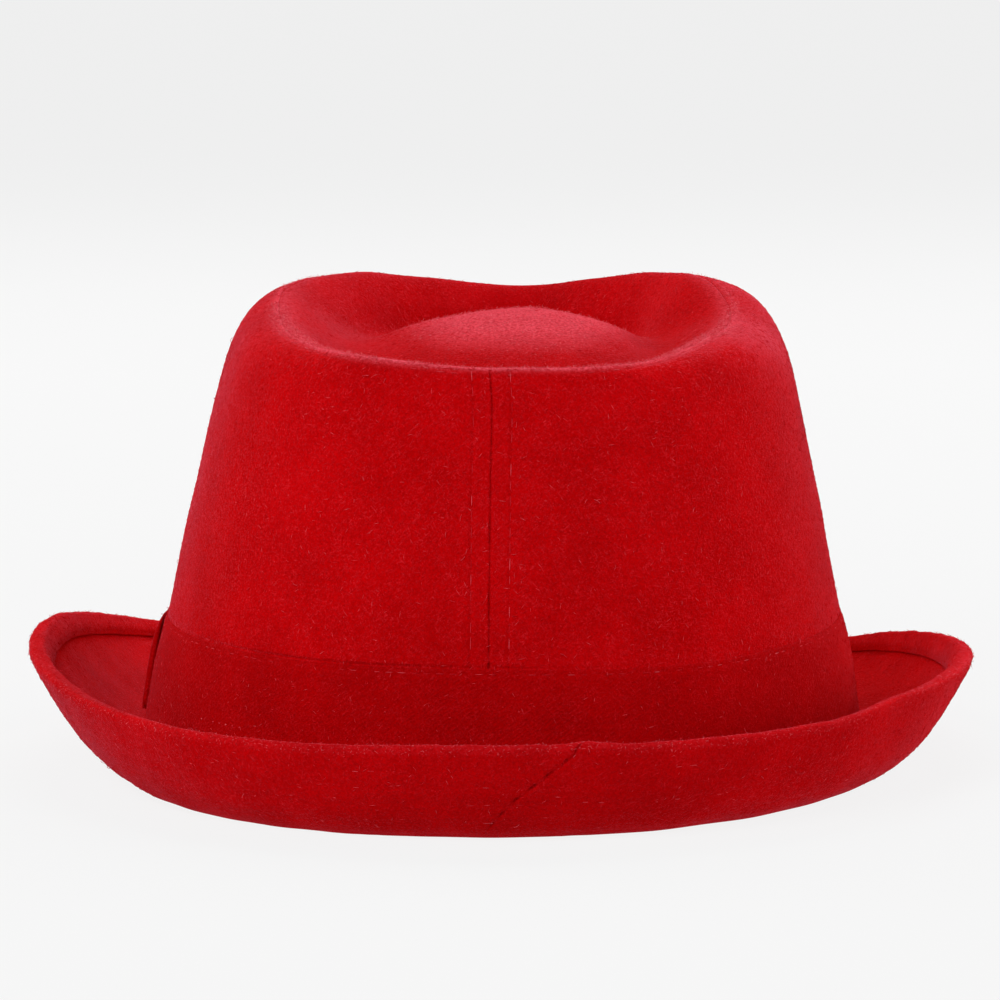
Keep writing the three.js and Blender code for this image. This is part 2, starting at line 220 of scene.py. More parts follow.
@dataclass(frozen=True)
class CrownForm:
    """The outer face of the crown, as ribs through the knots at each bearing, in mm."""

    oval: HeadOval = HeadOval()
    foot: float = 9.0
    wall: float = 2.0
    belly: float = 2.0
    belly_height: float = 0.6
    belly_at_band: float = 0.8
    lean: float = 1.2
    seam_lean: float = 0.2
    band_top: float = 36.0
    mound: tuple[float, float, float] = (7.0, -0.5, 110.0)
    slope: tuple[float, float] = (0.5, 0.4)
    flank: tuple[float, float] = (0.37, 0.55)
    cap: tuple[float, float] = (0.77, 0.91)
    side: RoundTable = RoundTable(
        ("bearing", "across", "along", "height", "shoulder_out", "shoulder_drop", "pinch"),
        (
            (0, 0, -84, 102.6, 2, 4.4, 0),
            (30, 32.2, -73.8, 103.2, 5.1, 4, 0),
            (60, 49, -44.3, 106.4, 9.5, 2.3, 0),
            (90, 55.5, -4.2, 109.1, 10.6, 6.5, 0),
            (115, 50.1, 23.7, 115.6, 11, 5.3, 1.5),
            (137, 39, 49.5, 115.2, 7.6, 7.8, 6),
            (158, 21.8, 65.6, 111.8, 5.6, 6.5, 5),
            (180, 0, 76, 109, 4.5, 6.5, 0),
            (202, -21.8, 65.6, 111.9, 5.6, 6.5, 5),
            (223, -39.6, 49.5, 114.9, 7.4, 8, 6),
            (245, -52.3, 23.7, 114.6, 9.8, 5.3, 1.5),
            (270, -54.9, -4.2, 111.9, 10.8, 7.3, 0),
            (300, -49, -44.3, 107, 8.9, 3.5, 0),
            (330, -32.2, -73.8, 104.8, 5.2, 5.6, 0),
        ),
    )
    tip: RoundTable = RoundTable(
        ("bearing", "crest_in", "crest_rise", "trough_in", "trough_height"),
        mirrored(
            (
                (0, 2.4, 0.1, 15.4, 94),
                (30, 3.6, 0, 18, 95),
                (60, 4.5, -0.5, 18, 98.5),
                (90, 4.5, -1, 17.5, 101),
                (115, 4, 0.4, 18, 100.5),
                (137, 4.5, 0.3, 19, 98),
                (158, 4, 1.2, 20.5, 95.5),
                (180, 4, 1.1, 21, 94),
            )
        ),
    )
    band_dip: RoundTable = RoundTable(
        ("bearing", "dip"),
        ((0, 0.03), (30, 0.052), (60, 0.02), (90, 0), (180, 0), (270, 0), (300, 0.02), (330, 0.034)),
    )
    lumps: SoftLumps = SoftLumps(height=0.16, length=26.0, seed=4)
    turn_step: float = 0.5
    knot_step: float = 0.02

    def band_edge(self, bearing: Array) -> Array:
        """Places along the ribs where the band's upper edge lies."""
        return Knot.BAND_TOP - self.band_dip.at("dip", bearing)

    def knots(self, bearing: Array) -> Array:
        """Knots of the ribs.

        Args:
            bearing: Bearings in degrees.

        Returns:
            Points in an array of bearings by knots by 3.
        """
        side = {name: self.side.at(name, bearing)[:, None] for name in self.side.columns[1:]}
        tip = {name: self.tip.at(name, bearing)[:, None] for name in self.tip.columns[1:]}
        out = self.oval.outward(bearing)
        up = np.array([0.0, 0.0, 1.0])
        mound = np.array(self.mound)
        foot = self.oval.point(bearing, self.wall, self.foot)
        seam = np.concatenate([side["across"] + self.seam_lean, side["along"], side["height"]], 1)
        shoulder = seam + out * side["shoulder_out"] - up * side["shoulder_drop"]
        shoulder[:, 0] += self.lean - self.seam_lean
        band_top = mix(foot, shoulder, (self.band_top - self.foot) / (shoulder[:, 2:] - self.foot))
        upper_side = mix(band_top, shoulder, self.belly_height) + out * (self.belly - side["pinch"])
        band_top = band_top + out * self.belly_at_band * self.belly
        inward = unit((mound - seam) * np.array([1.0, 1.0, 0.0]))
        crest = seam + inward * tip["crest_in"] + up * tip["crest_rise"]
        trough = seam + inward * tip["trough_in"]
        trough[:, 2:] = tip["trough_height"]
        slope, flank, cap = (
            np.concatenate([mix(low, high, share)[:, :2], mix(low, high, rise)[:, 2:]], 1)
            for low, high, (share, rise) in (
                (crest, trough, self.slope),
                (trough, mound, self.flank),
                (trough, mound, self.cap),
            )
        )
        top = np.broadcast_to(mound, foot.shape)
        side_knots = (foot, band_top, upper_side, shoulder, seam)
        return np.stack([*side_knots, crest, slope, trough, flank, cap, top], 1)

    def points(self, bearing: Array, knot: Array) -> Array:
        """Points of the ribs' smooth curves.

        Args:
            bearing: Bearings in degrees.
            knot: Places along a rib, where whole numbers are its knots.

        Returns:
            Points in an array of bearings by places by 3.
        """
        knots = self.knots(bearing)
        before, after = 2 * knots[:, :1] - knots[:, 1:2], 2 * knots[:, -1:] - knots[:, -2:-1]
        run = np.concatenate([before, knots, after], 1)
        first = np.clip(np.floor(knot).astype(int), Knot.FOOT, Knot.MOUND - 1)
        t = (knot - first)[None, :, None]
        a, b, c, d = (run[:, first + step] for step in range(4))
        spans = (b - a, c - b, d - c)
        ab, bc, cd = (np.sqrt(np.linalg.norm(span, axis=-1, keepdims=True)) for span in spans)
        leave = ((b - a) / ab - (c - a) / (ab + bc) + (c - b) / bc) * bc
        arrive = ((c - b) / bc - (d - b) / (bc + cd) + (d - c) / cd) * bc
        curve = 3 * (c - b) - 2 * leave - arrive
        return b + leave * t + curve * t**2 + (2 * (b - c) + leave + arrive) * t**3

    def offset(self, bearing: Array, knot: Array, distance: Array | float) -> Array:
        """Points at a distance outside the crown's face, with its slow unevenness.

        Args:
            bearing: Bearings in degrees.
            knot: Places along a rib.
            distance: Distances in mm, for all, for each place, or for each bearing and place.

        Returns:
            Points in an array of bearings by places by 3.
        """
        face = self.points(bearing, knot)
        around = self.points(bearing + self.turn_step, knot) - self.points(bearing - self.turn_step, knot)
        rise = self.points(bearing, np.minimum(knot + self.knot_step, Knot.MOUND))
        rise = rise - self.points(bearing, np.maximum(knot - self.knot_step, Knot.FOOT))
        level = np.broadcast_to(np.asarray(distance, float), face.shape[:2]) + self.lumps.at(face)
        return face + unit(np.cross(around, rise)) * level[..., None]

    def path(self, bearing: Array, knot: Array, distance: Array | float) -> Array:
        """A run of points over the crown's face.

        Args:
            bearing: Bearings in degrees.
            knot: A place along the rib for each bearing.
            distance: Distance out from the face.

        Returns:
            One point for each bearing.
        """
        pairs = zip(bearing, knot)
        return np.array([self.offset(np.array([b]), np.array([k]), distance)[0, 0] for b, k in pairs])


@dataclass(frozen=True)
class BrimForm:
    """The underside of the brim, as cubic sections out from the head opening, in mm."""

    oval: HeadOval = HeadOval()
    root: float = 5.5
    layer: float = 1.2
    hem_start: float = 0.925
    sections: RoundTable = RoundTable(
        ("bearing", "dip_out", "dip_up", "flare_out", "flare_up", "edge_out", "edge_up"),
        (
            (0, 10, -4.6, 27.5, -4.6, 38, 21.5),
            (22, 10.1, -3.9, 25.3, -4.4, 35.2, 21),
            (45, 10, -2.6, 22.1, -3.8, 31.5, 21.6),
            (57, 9.7, -1.9, 20.8, -2.9, 30.6, 23.5),
            (90, 9, 0.5, 17.8, -0.4, 30.7, 23.6),
            (125, 11, 3, 23.7, 1.3, 35.3, 16.5),
            (150, 13, 4, 28.7, 3, 39, 4.7),
            (180, 14, 5, 30, 3.5, 43, -0.5),
            (210, 13, 4, 28, 3, 39.7, 8.1),
            (235, 11, 3, 23.7, 5, 34.5, 19.5),
            (252, 9.8, 1.8, 19.6, 7.4, 30.9, 26.2),
            (270, 9, 0.5, 16.9, 7.5, 30.7, 28.2),
            (315, 10, -2.6, 23.7, -5.5, 33.6, 21.4),
            (330, 10.1, -3.5, 25.5, -6.1, 35.7, 20.3),
        ),
    )
    lumps: SoftLumps = SoftLumps(height=0.2, length=22.0, seed=9)
    lump_step: float = 0.75
    lump_span: float = 0.4
    slope_step: float = 0.04
    edge_wave: float = 0.08
    edge_waves: tuple[tuple[float, int, float], ...] = ((1.0, 7, 0.4), (0.8, 12, 2.1), (0.5, 19, 4.0))
    join_bump: float = 0.7
    join_bearing: float = 10.2
    join_span: float = 1.5

    @property
    def upper_face(self) -> float:
        """Height of the upper layer's lower face above the underside."""
        return self.layer + GAP

    @property
    def hem_face(self) -> float:
        """Height of the hem's lower face above the underside."""
        return self.upper_face + self.layer + GAP

    @property
    def hem_top(self) -> float:
        """Height of the hem's top above the underside."""
        return self.hem_face + self.layer

    def laid(self, bearing: Array, step: Array) -> Array:
        """The underside's section, flat where it lies on the floor and a little wavy at its edge.

        Args:
            bearing: Bearings in degrees.
            step: Shares of the brim's width.

        Returns:
            Reach and height in an array of bearings by steps by 2.
        """
        at = {name: self.sections.at(name, bearing)[:, None] for name in self.sections.columns[1:]}
        angle = np.radians(bearing)[:, None]
        wave = sum(share * np.sin(count * angle + start) for share, count, start in self.edge_waves)
        bump = self.join_bump * bell(bearing[:, None] - self.join_bearing, self.join_span)
        edge_up = at["edge_up"] + self.edge_wave * wave + bump
        t = np.clip(step, 0, 1)[None, :]
        near, mid, far, end = (1 - t) ** 3, 3 * (1 - t) ** 2 * t, 3 * (1 - t) * t**2, t**3
        reach = mid * at["dip_out"] + far * at["flare_out"] + end * at["edge_out"]
        height = near * self.root + mid * at["dip_up"] + far * at["flare_up"] + end * edge_up
        return np.stack([reach, np.maximum(height, 0)], -1)

    def points(self, bearing: Array, step: Array, distance: Array, beyond: Array | float = 0.0) -> Array:
        """Points of the brim.

        Args:
            bearing: Bearings in degrees.
            step: Shares of the brim's width.
            distance: Heights above the underside, for each step, or for each bearing and step.
            beyond: Reaches past the step.

        Returns:
            Points in an array of bearings by steps by 3.
        """
        head, out = self.oval.point(bearing, 0, 0)[:, None], self.oval.outward(bearing)[:, None]
        along = unit(self.laid(bearing, step + self.slope_step) - self.laid(bearing, step - self.slope_step))
        square = np.stack([-along[..., 1], along[..., 0]], -1)
        flat = self.laid(bearing, step)
        lumps = self.lumps.at(head + out * flat[..., :1]) * bell(step - self.lump_step, self.lump_span)
        level = np.broadcast_to(np.asarray(distance, float), flat.shape[:2]) + lumps
        reach = np.broadcast_to(np.asarray(beyond), flat.shape[:2])
        flat = flat + square * level[..., None] + along * reach[..., None]
        points = head + out * flat[..., :1]
        points[..., 2] = np.maximum(flat[..., 1], 0)
        return points


def eased(rows: Array, reach: float) -> Array:
    """Rows of points with their corners rounded, while their two ends stay in place.

    Args:
        rows: Points in mm, in an array of rows by points by 3, evenly spread along each row.
        reach: How many points away a corner is eased.

    Returns:
        The eased rows.
    """
    count = int(3 * reach)
    weights = bell(np.arange(-count, count + 1), reach * math.sqrt(2))
    before = 2 * rows[:, :1] - rows[:, count:0:-1]
    after = 2 * rows[:, -1:] - rows[:, -2 : -count - 2 : -1]
    run = np.concatenate([before, rows, after], 1)
    total = sum(weight * run[:, k : k + rows.shape[1]] for k, weight in enumerate(weights))
    return total / weights.sum()


def evened(rows: Array, count: int) -> Array:
    """Rows of points spread evenly along their length.

    Args:
        rows: Points in mm, in an array of rows by points by 3.
        count: How many points each row gets.

    Returns:
        The new rows.
    """
    made = np.empty((len(rows), count, 3))
    for place, row in enumerate(rows):
        length = np.concatenate([[0], np.cumsum(np.linalg.norm(np.diff(row, axis=0), axis=1))])
        want = np.linspace(0, length[-1], count)
        made[place] = np.stack([np.interp(want, length, row[:, axis]) for axis in range(3)], 1)
    return made


def bearings(count: int, fine_from: float, fine_to: float, fine_step: float) -> Array:
    """Bearings round the hat, with closer ones over a seam.

    Args:
        count: Number of even bearings.
        fine_from: First bearing of the closer ones, which may be negative.
        fine_to: Last bearing of the closer ones.
        fine_step: Spacing of the closer ones, in degrees.

    Returns:
        Rising bearings that start with the closer ones and go once round.
    """
    fine = np.arange(fine_from, fine_to, fine_step)
    rest = np.linspace(fine_to, fine_from + 360, count, endpoint=False)
    return np.concatenate([fine, rest])


def crown_axis() -> Array:
    """The crown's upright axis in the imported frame, in metres."""
    low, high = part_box("crown_side")
    return np.array([(low[0] + high[0]) / 2, (low[1] + high[1]) / 2, 0.0])


def add_object(name: str, points: Array, faces: list[list[int]], edges: Array | None = None) -> Piece:
    """Adds a mesh object whose place is in its mesh.

    Args:
        name: Name of the piece.
        points: Points in mm about the crown's axis.
        faces: Corner numbers of each face.
        edges: Pairs of point numbers, for a path with no faces.

    Returns:
        The object, in the scene.
    """
    mesh = bpy.data.meshes.new(name)
    pairs = [] if edges is None else edges.tolist()
    mesh.from_pydata((points * MM + crown_axis()).tolist(), pairs, faces)
    mesh.polygons.foreach_set("use_smooth", np.ones(len(mesh.polygons), bool))
    thing = bpy.data.objects.new(name, mesh)
    bpy.context.scene.collection.objects.link(thing)
    return thing


@dataclass(frozen=True)
class Wear:
    """How the wool lies on each point of a cloth, as shares: short nap and standing fuzz, and a painted
    highlight where lit wool is seen aslant.
    """

    nap: Array | float = 1.0
    fuzz: Array | float = 0.0
    bloom: Array | float = 0.0

    def keep(self, thing: Piece, shape: tuple[int, ...]) -> None:
        """Keeps the three shares as attributes of a piece's points.

        Args:
            thing: The piece.
            shape: Shape of the piece's rows of points, to which each share is spread.
        """
        for name in ("nap", "fuzz", "bloom"):
            values = np.zeros(len(thing.data.vertices), np.float32)
            spread = np.broadcast_to(np.asarray(getattr(self, name), np.float32), shape).ravel()
            values[: len(spread)] = spread
            thing.data.attributes.new(name, "FLOAT", "POINT").data.foreach_set("value", values)


def ring(name: str, outlines: Array, wear: Wear) -> Piece:
    """Adds a closed ring from one closed outline per bearing, with a map of the cloth in metres.

    Args:
        name: Name of the piece.
        outlines: Points in mm, in an array of bearings by corners by 3.
        wear: How the wool lies.

    Returns:
        The object.
    """
    count, corners = outlines.shape[:2]
    i, j = (index.ravel() for index in np.meshgrid(np.arange(count), np.arange(corners), indexing="ij"))
    here, beside, j_next = i * corners, (i + 1) % count * corners, (j + 1) % corners
    faces = np.stack([here + j, beside + j, beside + j_next, here + j_next], 1)
    thing = add_object(name, outlines.reshape(-1, 3), faces.tolist())
    wear.keep(thing, (count, corners))
    middle = outlines.mean(1)
    around = np.linalg.norm(np.roll(middle, -1, 0) - middle, axis=1)
    u = np.concatenate([[0], np.cumsum(around)]) * MM
    rise = np.linalg.norm(np.roll(outlines, -1, 1) - outlines, axis=2).mean(0)
    v = np.concatenate([[0], np.cumsum(rise)]) * MM
    across = np.stack([u[i], u[i + 1], u[i + 1], u[i]], 1)
    along = np.stack([v[j], v[j], v[j + 1], v[j + 1]], 1)
    cloth_map = np.stack([across, along], 2).astype(np.float32)
    thing.data.uv_layers.new(name="cloth").data.foreach_set("uv", cloth_map.ravel())
    return thing


def strip(name: str, outlines: Array, wear: Wear) -> Piece:
    """Adds a closed strip from a run of closed outlines, with a face over each end.

    Args:
        name: Name of the piece.
        outlines: Points in mm, in an array of sections by corners by 3.
        wear: How the wool lies.

    Returns:
        The object.
    """
    count, corners = outlines.shape[:2]
    i, j = (index.ravel() for index in np.meshgrid(np.arange(count - 1), np.arange(corners), indexing="ij"))
    here, beside = i * corners + j, i * corners + (j + 1) % corners
    quads = np.stack([here, here + corners, beside + corners, beside], 1).tolist()
    first, last = list(range(corners)), list(range((count - 1) * corners, count * corners))
    thing = add_object(name, outlines.reshape(-1, 3), [*quads, first, last[::-1]])
    wear.keep(thing, (count, corners))
    return thing


def dish(name: str, top: Array, below: Array, poles: Array, wear: Wear) -> Piece:
    """Adds a closed dish from the rows of its upper and lower faces and the poles that close them.

    Args:
        name: Name of the piece.
        top: Points of the upper face, in an array of bearings by rows by 3, from the rim inwards.
        below: Points of the lower face, from the pole out to the rim.
        poles: The upper and the lower pole.
        wear: How the wool lies on the rows.

    Returns:
        The object.
    """
    count, rows = top.shape[0], top.shape[1] + below.shape[1]
    last = top.shape[1] - 1
    i, j = (index.ravel() for index in np.meshgrid(np.arange(count), np.arange(rows), indexing="ij"))
    i, j = i[j != last], j[j != last]
    here, beside, j_next = i * rows, (i + 1) % count * rows, (j + 1) % rows
    quads = np.stack([here + j, beside + j, beside + j_next, here + j_next], 1).tolist()
    inner = np.arange(count) * rows + last
    after, pole = np.roll(inner, -1), np.full(count, count * rows)
    upper = np.stack([inner, after, pole], 1).tolist()
    lower = np.stack([after + 1, inner + 1, pole + 1], 1).tolist()
    points = np.concatenate([np.concatenate([top, below], 1).reshape(-1, 3), poles])
    thing = add_object(name, points, quads + upper + lower)
    wear.keep(thing, (count, rows))
    return thing


def settle(thing: Piece, material: Material, slot: str, *nodes: str) -> None:
    """Gives a piece its finish and its place in the frame, and reports it.

    Args:
        thing: The piece.
        material: Its finish.
        slot: Not used; the record's material slot that the finish stands for.
        nodes: Nodes of the frame that the piece stands for.
    """
    thing.data.materials.clear()
    thing.data.materials.append(material)
    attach(thing, BODY)
    if nodes:
        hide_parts(*nodes)
    LOG.info("%s: %d faces", thing.name, len(thing.data.polygons))


class TreeMaker:
    """Adds nodes to a tree and joins them."""

    def __init__(self, tree: Tree) -> None:
        """Keeps the tree."""
        self.tree = tree

    def sockets(self, way: str, **kinds: str) -> None:
        """Adds named sockets to the tree's interface.

        Args:
            way: INPUT or OUTPUT.
            kinds: Type of each socket, by its name with _ for a space.
        """
        for name, kind in kinds.items():
            plain = name.replace("_", " ")
            self.tree.interface.new_socket(name=plain, in_out=way, socket_type=f"NodeSocket{kind}")

    def node(self, kind: str, inputs: dict[str | int, Any] | None = None, **settings: Any) -> bpy.types.Node:
        """Adds a node.

        Args:
            kind: Blender's name of the node's type.
            inputs: Values or sockets for the node's inputs, by name or number.
            settings: The node's own properties.

        Returns:
            The node.
        """
        node = self.tree.nodes.new(kind)
        for name, value in settings.items():
            setattr(node, name, value)
        self.fill(node, inputs or {})
        return node

    def fill(self, node: bpy.types.Node, inputs: dict[str | int, Any]) -> None:
        """Sets a node's inputs.

        Args:
            node: The node.
            inputs: Values or sockets for its inputs, by name or number.
        """
        for key, value in inputs.items():
            if isinstance(value, Socket):
                self.tree.links.new(value, node.inputs[key])
            else:
                node.inputs[key].default_value = value

    def math(self, operation: str, first: Any, second: Any = 0.0) -> Socket:
        """The result of one sum on values or sockets."""
        return self.node("ShaderNodeMath", {0: first, 1: second}, operation=operation).outputs[0]

    def line(self, value: Any, by: float, plus: Any) -> Socket:
        """A value times a number, plus another value."""
        return self.math("ADD", self.math("MULTIPLY", value, by), plus)

    def chance(self, low: Any, high: Any, seed: int) -> Socket:
        """A seeded value for each element, between two limits."""
        return self.node("FunctionNodeRandomValue", {2: low, 3: high, 8: seed}, data_type="FLOAT").outputs[1]

    def noise(self, vector: Socket, scale: float, detail: float) -> Socket:
        """Soft noise at a scale."""
        given = {"Vector": vector, "Scale": scale, "Detail": detail}
        return self.node("ShaderNodeTexNoise", given).outputs[0]

    def stretch(self, vector: Socket, way: tuple[float, ...], share: float) -> Socket:
        """Coordinates pressed together along one way, so that a pattern is drawn out along it.

        Args:
            vector: The coordinates.
            way: The way, of length 1.
            share: How much of the way along it is taken off.

        Returns:
            The new coordinates.
        """
        kind = "ShaderNodeVectorMath"
        along = self.node(kind, {0: vector, 1: way}, operation="DOT_PRODUCT").outputs["Value"]
        less = self.math("MULTIPLY", along, share)
        step = self.node(kind, {0: way, "Scale": less}, operation="SCALE").outputs[0]
        return self.node(kind, {0: vector, 1: step}, operation="SUBTRACT").outputs[0]

    def remap(self, value: Any, low: float, high: float) -> Socket:
        """A value stretched so that low gives 0 and high gives 1, and kept between them."""
        return self.node("ShaderNodeMapRange", {"Value": value, 1: low, 2: high}).outputs[0]

    def blend(self, share: Any, first: Any, second: Any) -> Socket:
        """A colour mixed from two by a share."""
        return self.node("ShaderNodeMix", {0: share, 6: first, 7: second}, data_type="RGBA").outputs[2]

    def end_copies(self, copies: Socket, material: Socket, seed: int) -> None:
        """Ends a tree: gives each copy a shade by chance, makes the copies real and dresses them.

        Args:
            copies: The copies.
            material: Their finish.
            seed: Seed of the shades.
        """
        shade = {"Geometry": copies, "Name": "shade", "Value": self.chance(0.0, 1.0, seed)}
        shaded = self.node("GeometryNodeStoreNamedAttribute", shade, data_type="FLOAT", domain="INSTANCE")
        real = self.node("GeometryNodeRealizeInstances", {0: shaded.outputs[0]}).outputs[0]
        dressed = self.node("GeometryNodeSetMaterial", {"Geometry": real, "Material": material}).outputs[0]
        self.node("NodeGroupOutput", {0: dressed})


def run_tree(thing: Piece, tree: Tree, values: dict[str, Any]) -> None:
    """Runs a tree on an object and keeps what it makes as the object's plain mesh.

    Args:
        thing: The object, which the tree reads.
        tree: The geometry nodes.
        values: Values for the tree's inputs, by name.
    """
    modifier = thing.modifiers.new(tree.name, "NODES")
    modifier.node_group = tree
    for item in tree.interface.items_tree:
        if item.in_out == "INPUT" and item.name in values:
            modifier[item.identifier] = values[item.name]
    graph = bpy.context.evaluated_depsgraph_get()
    made = bpy.data.meshes.new_from_object(thing.evaluated_get(graph))
    thing.modifiers.remove(modifier)
    made.name = thing.name
    thing.data = made


@dataclass(frozen=True)
class LooseWool:
    """Fibres that stand off the cloth, scattered by geometry nodes. Sizes in metres and radians."""

    kind: Fibre
    density: float
    length: float
    width: float
    lift: float
    seed: int
    lengths: tuple[float, float] = (0.45, 1.5)
    spin: float = 3.14
    low_power: float = 2.2

    def tree(self) -> Tree:
        """The geometry nodes for this kind of fibre, built once.

        Returns:
            The tree, which scatters fibres over a cloth by its nap or fuzz attribute.
        """
        name = f"loose_wool_{self.kind.value}"
        if name in bpy.data.node_groups:
            return bpy.data.node_groups[name]
        tree = bpy.data.node_groups.new(name, "GeometryNodeTree")
        maker = TreeMaker(tree)
        maker.sockets("INPUT", Cloth="Geometry", Density="Float", Length="Float", Width="Float", Lift="Float")
        maker.sockets("INPUT", Seed="Int", Wool="Material")
        maker.sockets("OUTPUT", Fibres="Geometry")
        given = maker.node("NodeGroupInput").outputs
        share = "fuzz" if self.kind is Fibre.FUZZ else "nap"
        thickness = maker.node("GeometryNodeInputNamedAttribute", {"Name": share}, data_type="FLOAT")
        density = maker.math("MULTIPLY", thickness.outputs[0], given["Density"])
        cloth = {"Mesh": given["Cloth"], "Density": density, "Seed": given["Seed"]}
        spots = maker.node("GeometryNodeDistributePointsOnFaces", cloth).outputs
        low = maker.math("POWER", maker.chance(0.0, 1.0, 2), self.low_power)
        lean = maker.math("SUBTRACT", math.pi / 2, maker.math("MULTIPLY", low, given["Lift"]))
        turned = spots["Rotation"]
        for axis, angle in (((0, 0, 1), maker.chance(-self.spin, self.spin, 1)), ((1, 0, 0), lean)):
            by = maker.node("FunctionNodeAxisAngleToRotation", {"Axis": axis, "Angle": angle}).outputs[0]
            both = {"Rotation": turned, "Rotate By": by}
            turned = maker.node("FunctionNodeRotateRotation", both, rotation_space="LOCAL").outputs[0]
        length = maker.math("MULTIPLY", given["Length"], maker.chance(*self.lengths, 3))
        fibre, scale = self.fibre(maker, given, length)
        copies = {"Points": spots["Points"], "Instance": fibre, "Rotation": turned, "Scale": scale}
        maker.end_copies(maker.node("GeometryNodeInstanceOnPoints", copies).outputs[0], given["Wool"], 4)
        return tree

    def fibre(self, maker: TreeMaker, given: Any, length: Socket) -> tuple[Any, Any]:
        """One fibre that stands on its root, and the scale that each copy takes.

        Args:
            maker: The tree's maker.
            given: The tree's inputs.
            length: The length of each copy.

        Returns:
            The fibre's geometry socket and the scale's socket.
        """
        if self.kind is not Fibre.STRAY:
            spindle = maker.node("GeometryNodeMeshUVSphere", {"Segments": 3, "Rings": 2, "Radius": 0.5})
            place = {"Geometry": spindle.outputs[0], "Translation": (0, 0, 0.5)}
            rooted = maker.node("GeometryNodeTransform", place).outputs[0]
            width = given["Width"]
            return rooted, maker.node("ShaderNodeCombineXYZ", {0: width, 1: width, 2: length}).outputs[0]
        bend = {"Resolution": 6, "Start": (0, 0, 0), "Middle": (0.0, 0.5, 0.6), "End": (0.2, 0.1, 1.0)}
        bow = maker.node("GeometryNodeCurveQuadraticBezier", bend).outputs[0]
        half = maker.math("DIVIDE", maker.math("DIVIDE", given["Width"], given["Length"]), 2.0)
        section = maker.node("GeometryNodeCurvePrimitiveCircle", {"Resolution": 3, "Radius": half}).outputs[0]
        sweep = {"Curve": bow, "Profile Curve": section, "Fill Caps": True}
        strand = maker.node("GeometryNodeCurveToMesh", sweep).outputs[0]
        return strand, maker.node("ShaderNodeCombineXYZ", {0: length, 1: length, 2: length}).outputs[0]

    def grow(self, cloth: Piece, name: str, material: Material, slot: str) -> None:
        """Grows the fibres on a cloth as a piece of their own.

        Args:
            cloth: The finished piece of cloth.
            name: Name of the new piece.
            material: Finish of the fibres.
            slot: The record's material slot.
        """
        thing = bpy.data.objects.new(name, cloth.data.copy())
        bpy.context.scene.collection.objects.link(thing)
        values = {
            "Density": self.density,
            "Length": self.length,
            "Width": self.width,
            "Lift": self.lift,
            "Seed": self.seed,
            "Wool": material,
        }
        run_tree(thing, self.tree(), values)
        settle(thing, material, slot)


@dataclass(frozen=True)
class Stitching:
    """A run of stitches along paths on the cloth, by geometry nodes. Sizes in mm."""

    pitch: float
    length: float
    radius: float
    kept: float
    seed: int
    lengths: tuple[float, float] = (0.75, 1.12)

    def tree(self) -> Tree:
        """The geometry nodes for stitches, built once.

        Returns:
            The tree, which lays threads along the edges of a mesh.
        """
        name = "stitching"
        if name in bpy.data.node_groups:
            return bpy.data.node_groups[name]
        tree = bpy.data.node_groups.new(name, "GeometryNodeTree")
        maker = TreeMaker(tree)
        maker.sockets("INPUT", Path="Geometry", Pitch="Float", Length="Float", Radius="Float", Kept="Float")
        maker.sockets("INPUT", Seed="Int", Thread="Material")
        maker.sockets("OUTPUT", Stitches="Geometry")
        given = maker.node("NodeGroupInput").outputs
        curve = maker.node("GeometryNodeMeshToCurve", {"Mesh": given["Path"]}).outputs[0]
        steps = {"Curve": curve, "Length": given["Pitch"]}
        spots = maker.node("GeometryNodeResampleCurve", steps, mode="LENGTH").outputs[0]
        tangent = maker.node("GeometryNodeInputTangent").outputs[0]
        turned = maker.node("FunctionNodeAlignRotationToVector", {"Vector": tangent}, axis="Z").outputs[0]
        some = {6: given["Kept"], 8: given["Seed"]}
        kept = maker.node("FunctionNodeRandomValue", some, data_type="BOOLEAN").outputs[3]
        half = maker.math("MULTIPLY", given["Length"], 0.5)
        half = maker.math("MULTIPLY", half, maker.chance(*self.lengths, 5))
        radius = given["Radius"]
        scale = maker.node("ShaderNodeCombineXYZ", {0: radius, 1: radius, 2: half}).outputs[0]
        thread = maker.node("GeometryNodeMeshUVSphere", {"Segments": 5, "Rings": 4, "Radius": 1.0}).outputs[0]
        copies = {"Points": spots, "Selection": kept, "Instance": thread, "Rotation": turned, "Scale": scale}
        maker.end_copies(maker.node("GeometryNodeInstanceOnPoints", copies).outputs[0], given["Thread"], 6)
        return tree

    def sew(self, name: str, paths: list[Array], material: Material, slot: str) -> None:
        """Sews stitches along paths as one piece.

        Args:
            name: Name of the piece.
            paths: Runs of points in mm about the crown's axis.
            material: Finish of the thread.
            slot: The record's material slot.
        """
        ends = np.cumsum([0] + [len(path) for path in paths])
        runs = [np.arange(first, last) for first, last in zip(ends[:-1], ends[1:])]
        edges = [np.stack([run[:-1], run[1:]], 1) for run in runs]
        thing = add_object(name, np.concatenate(paths), [], np.concatenate(edges))
        values = {
            "Pitch": self.pitch * MM,
            "Length": self.length * MM,
            "Radius": self.radius * MM,
            "Kept": self.kept,
            "Seed": self.seed,
            "Thread": material,
        }
        run_tree(thing, self.tree(), values)
        settle(thing, material, slot)


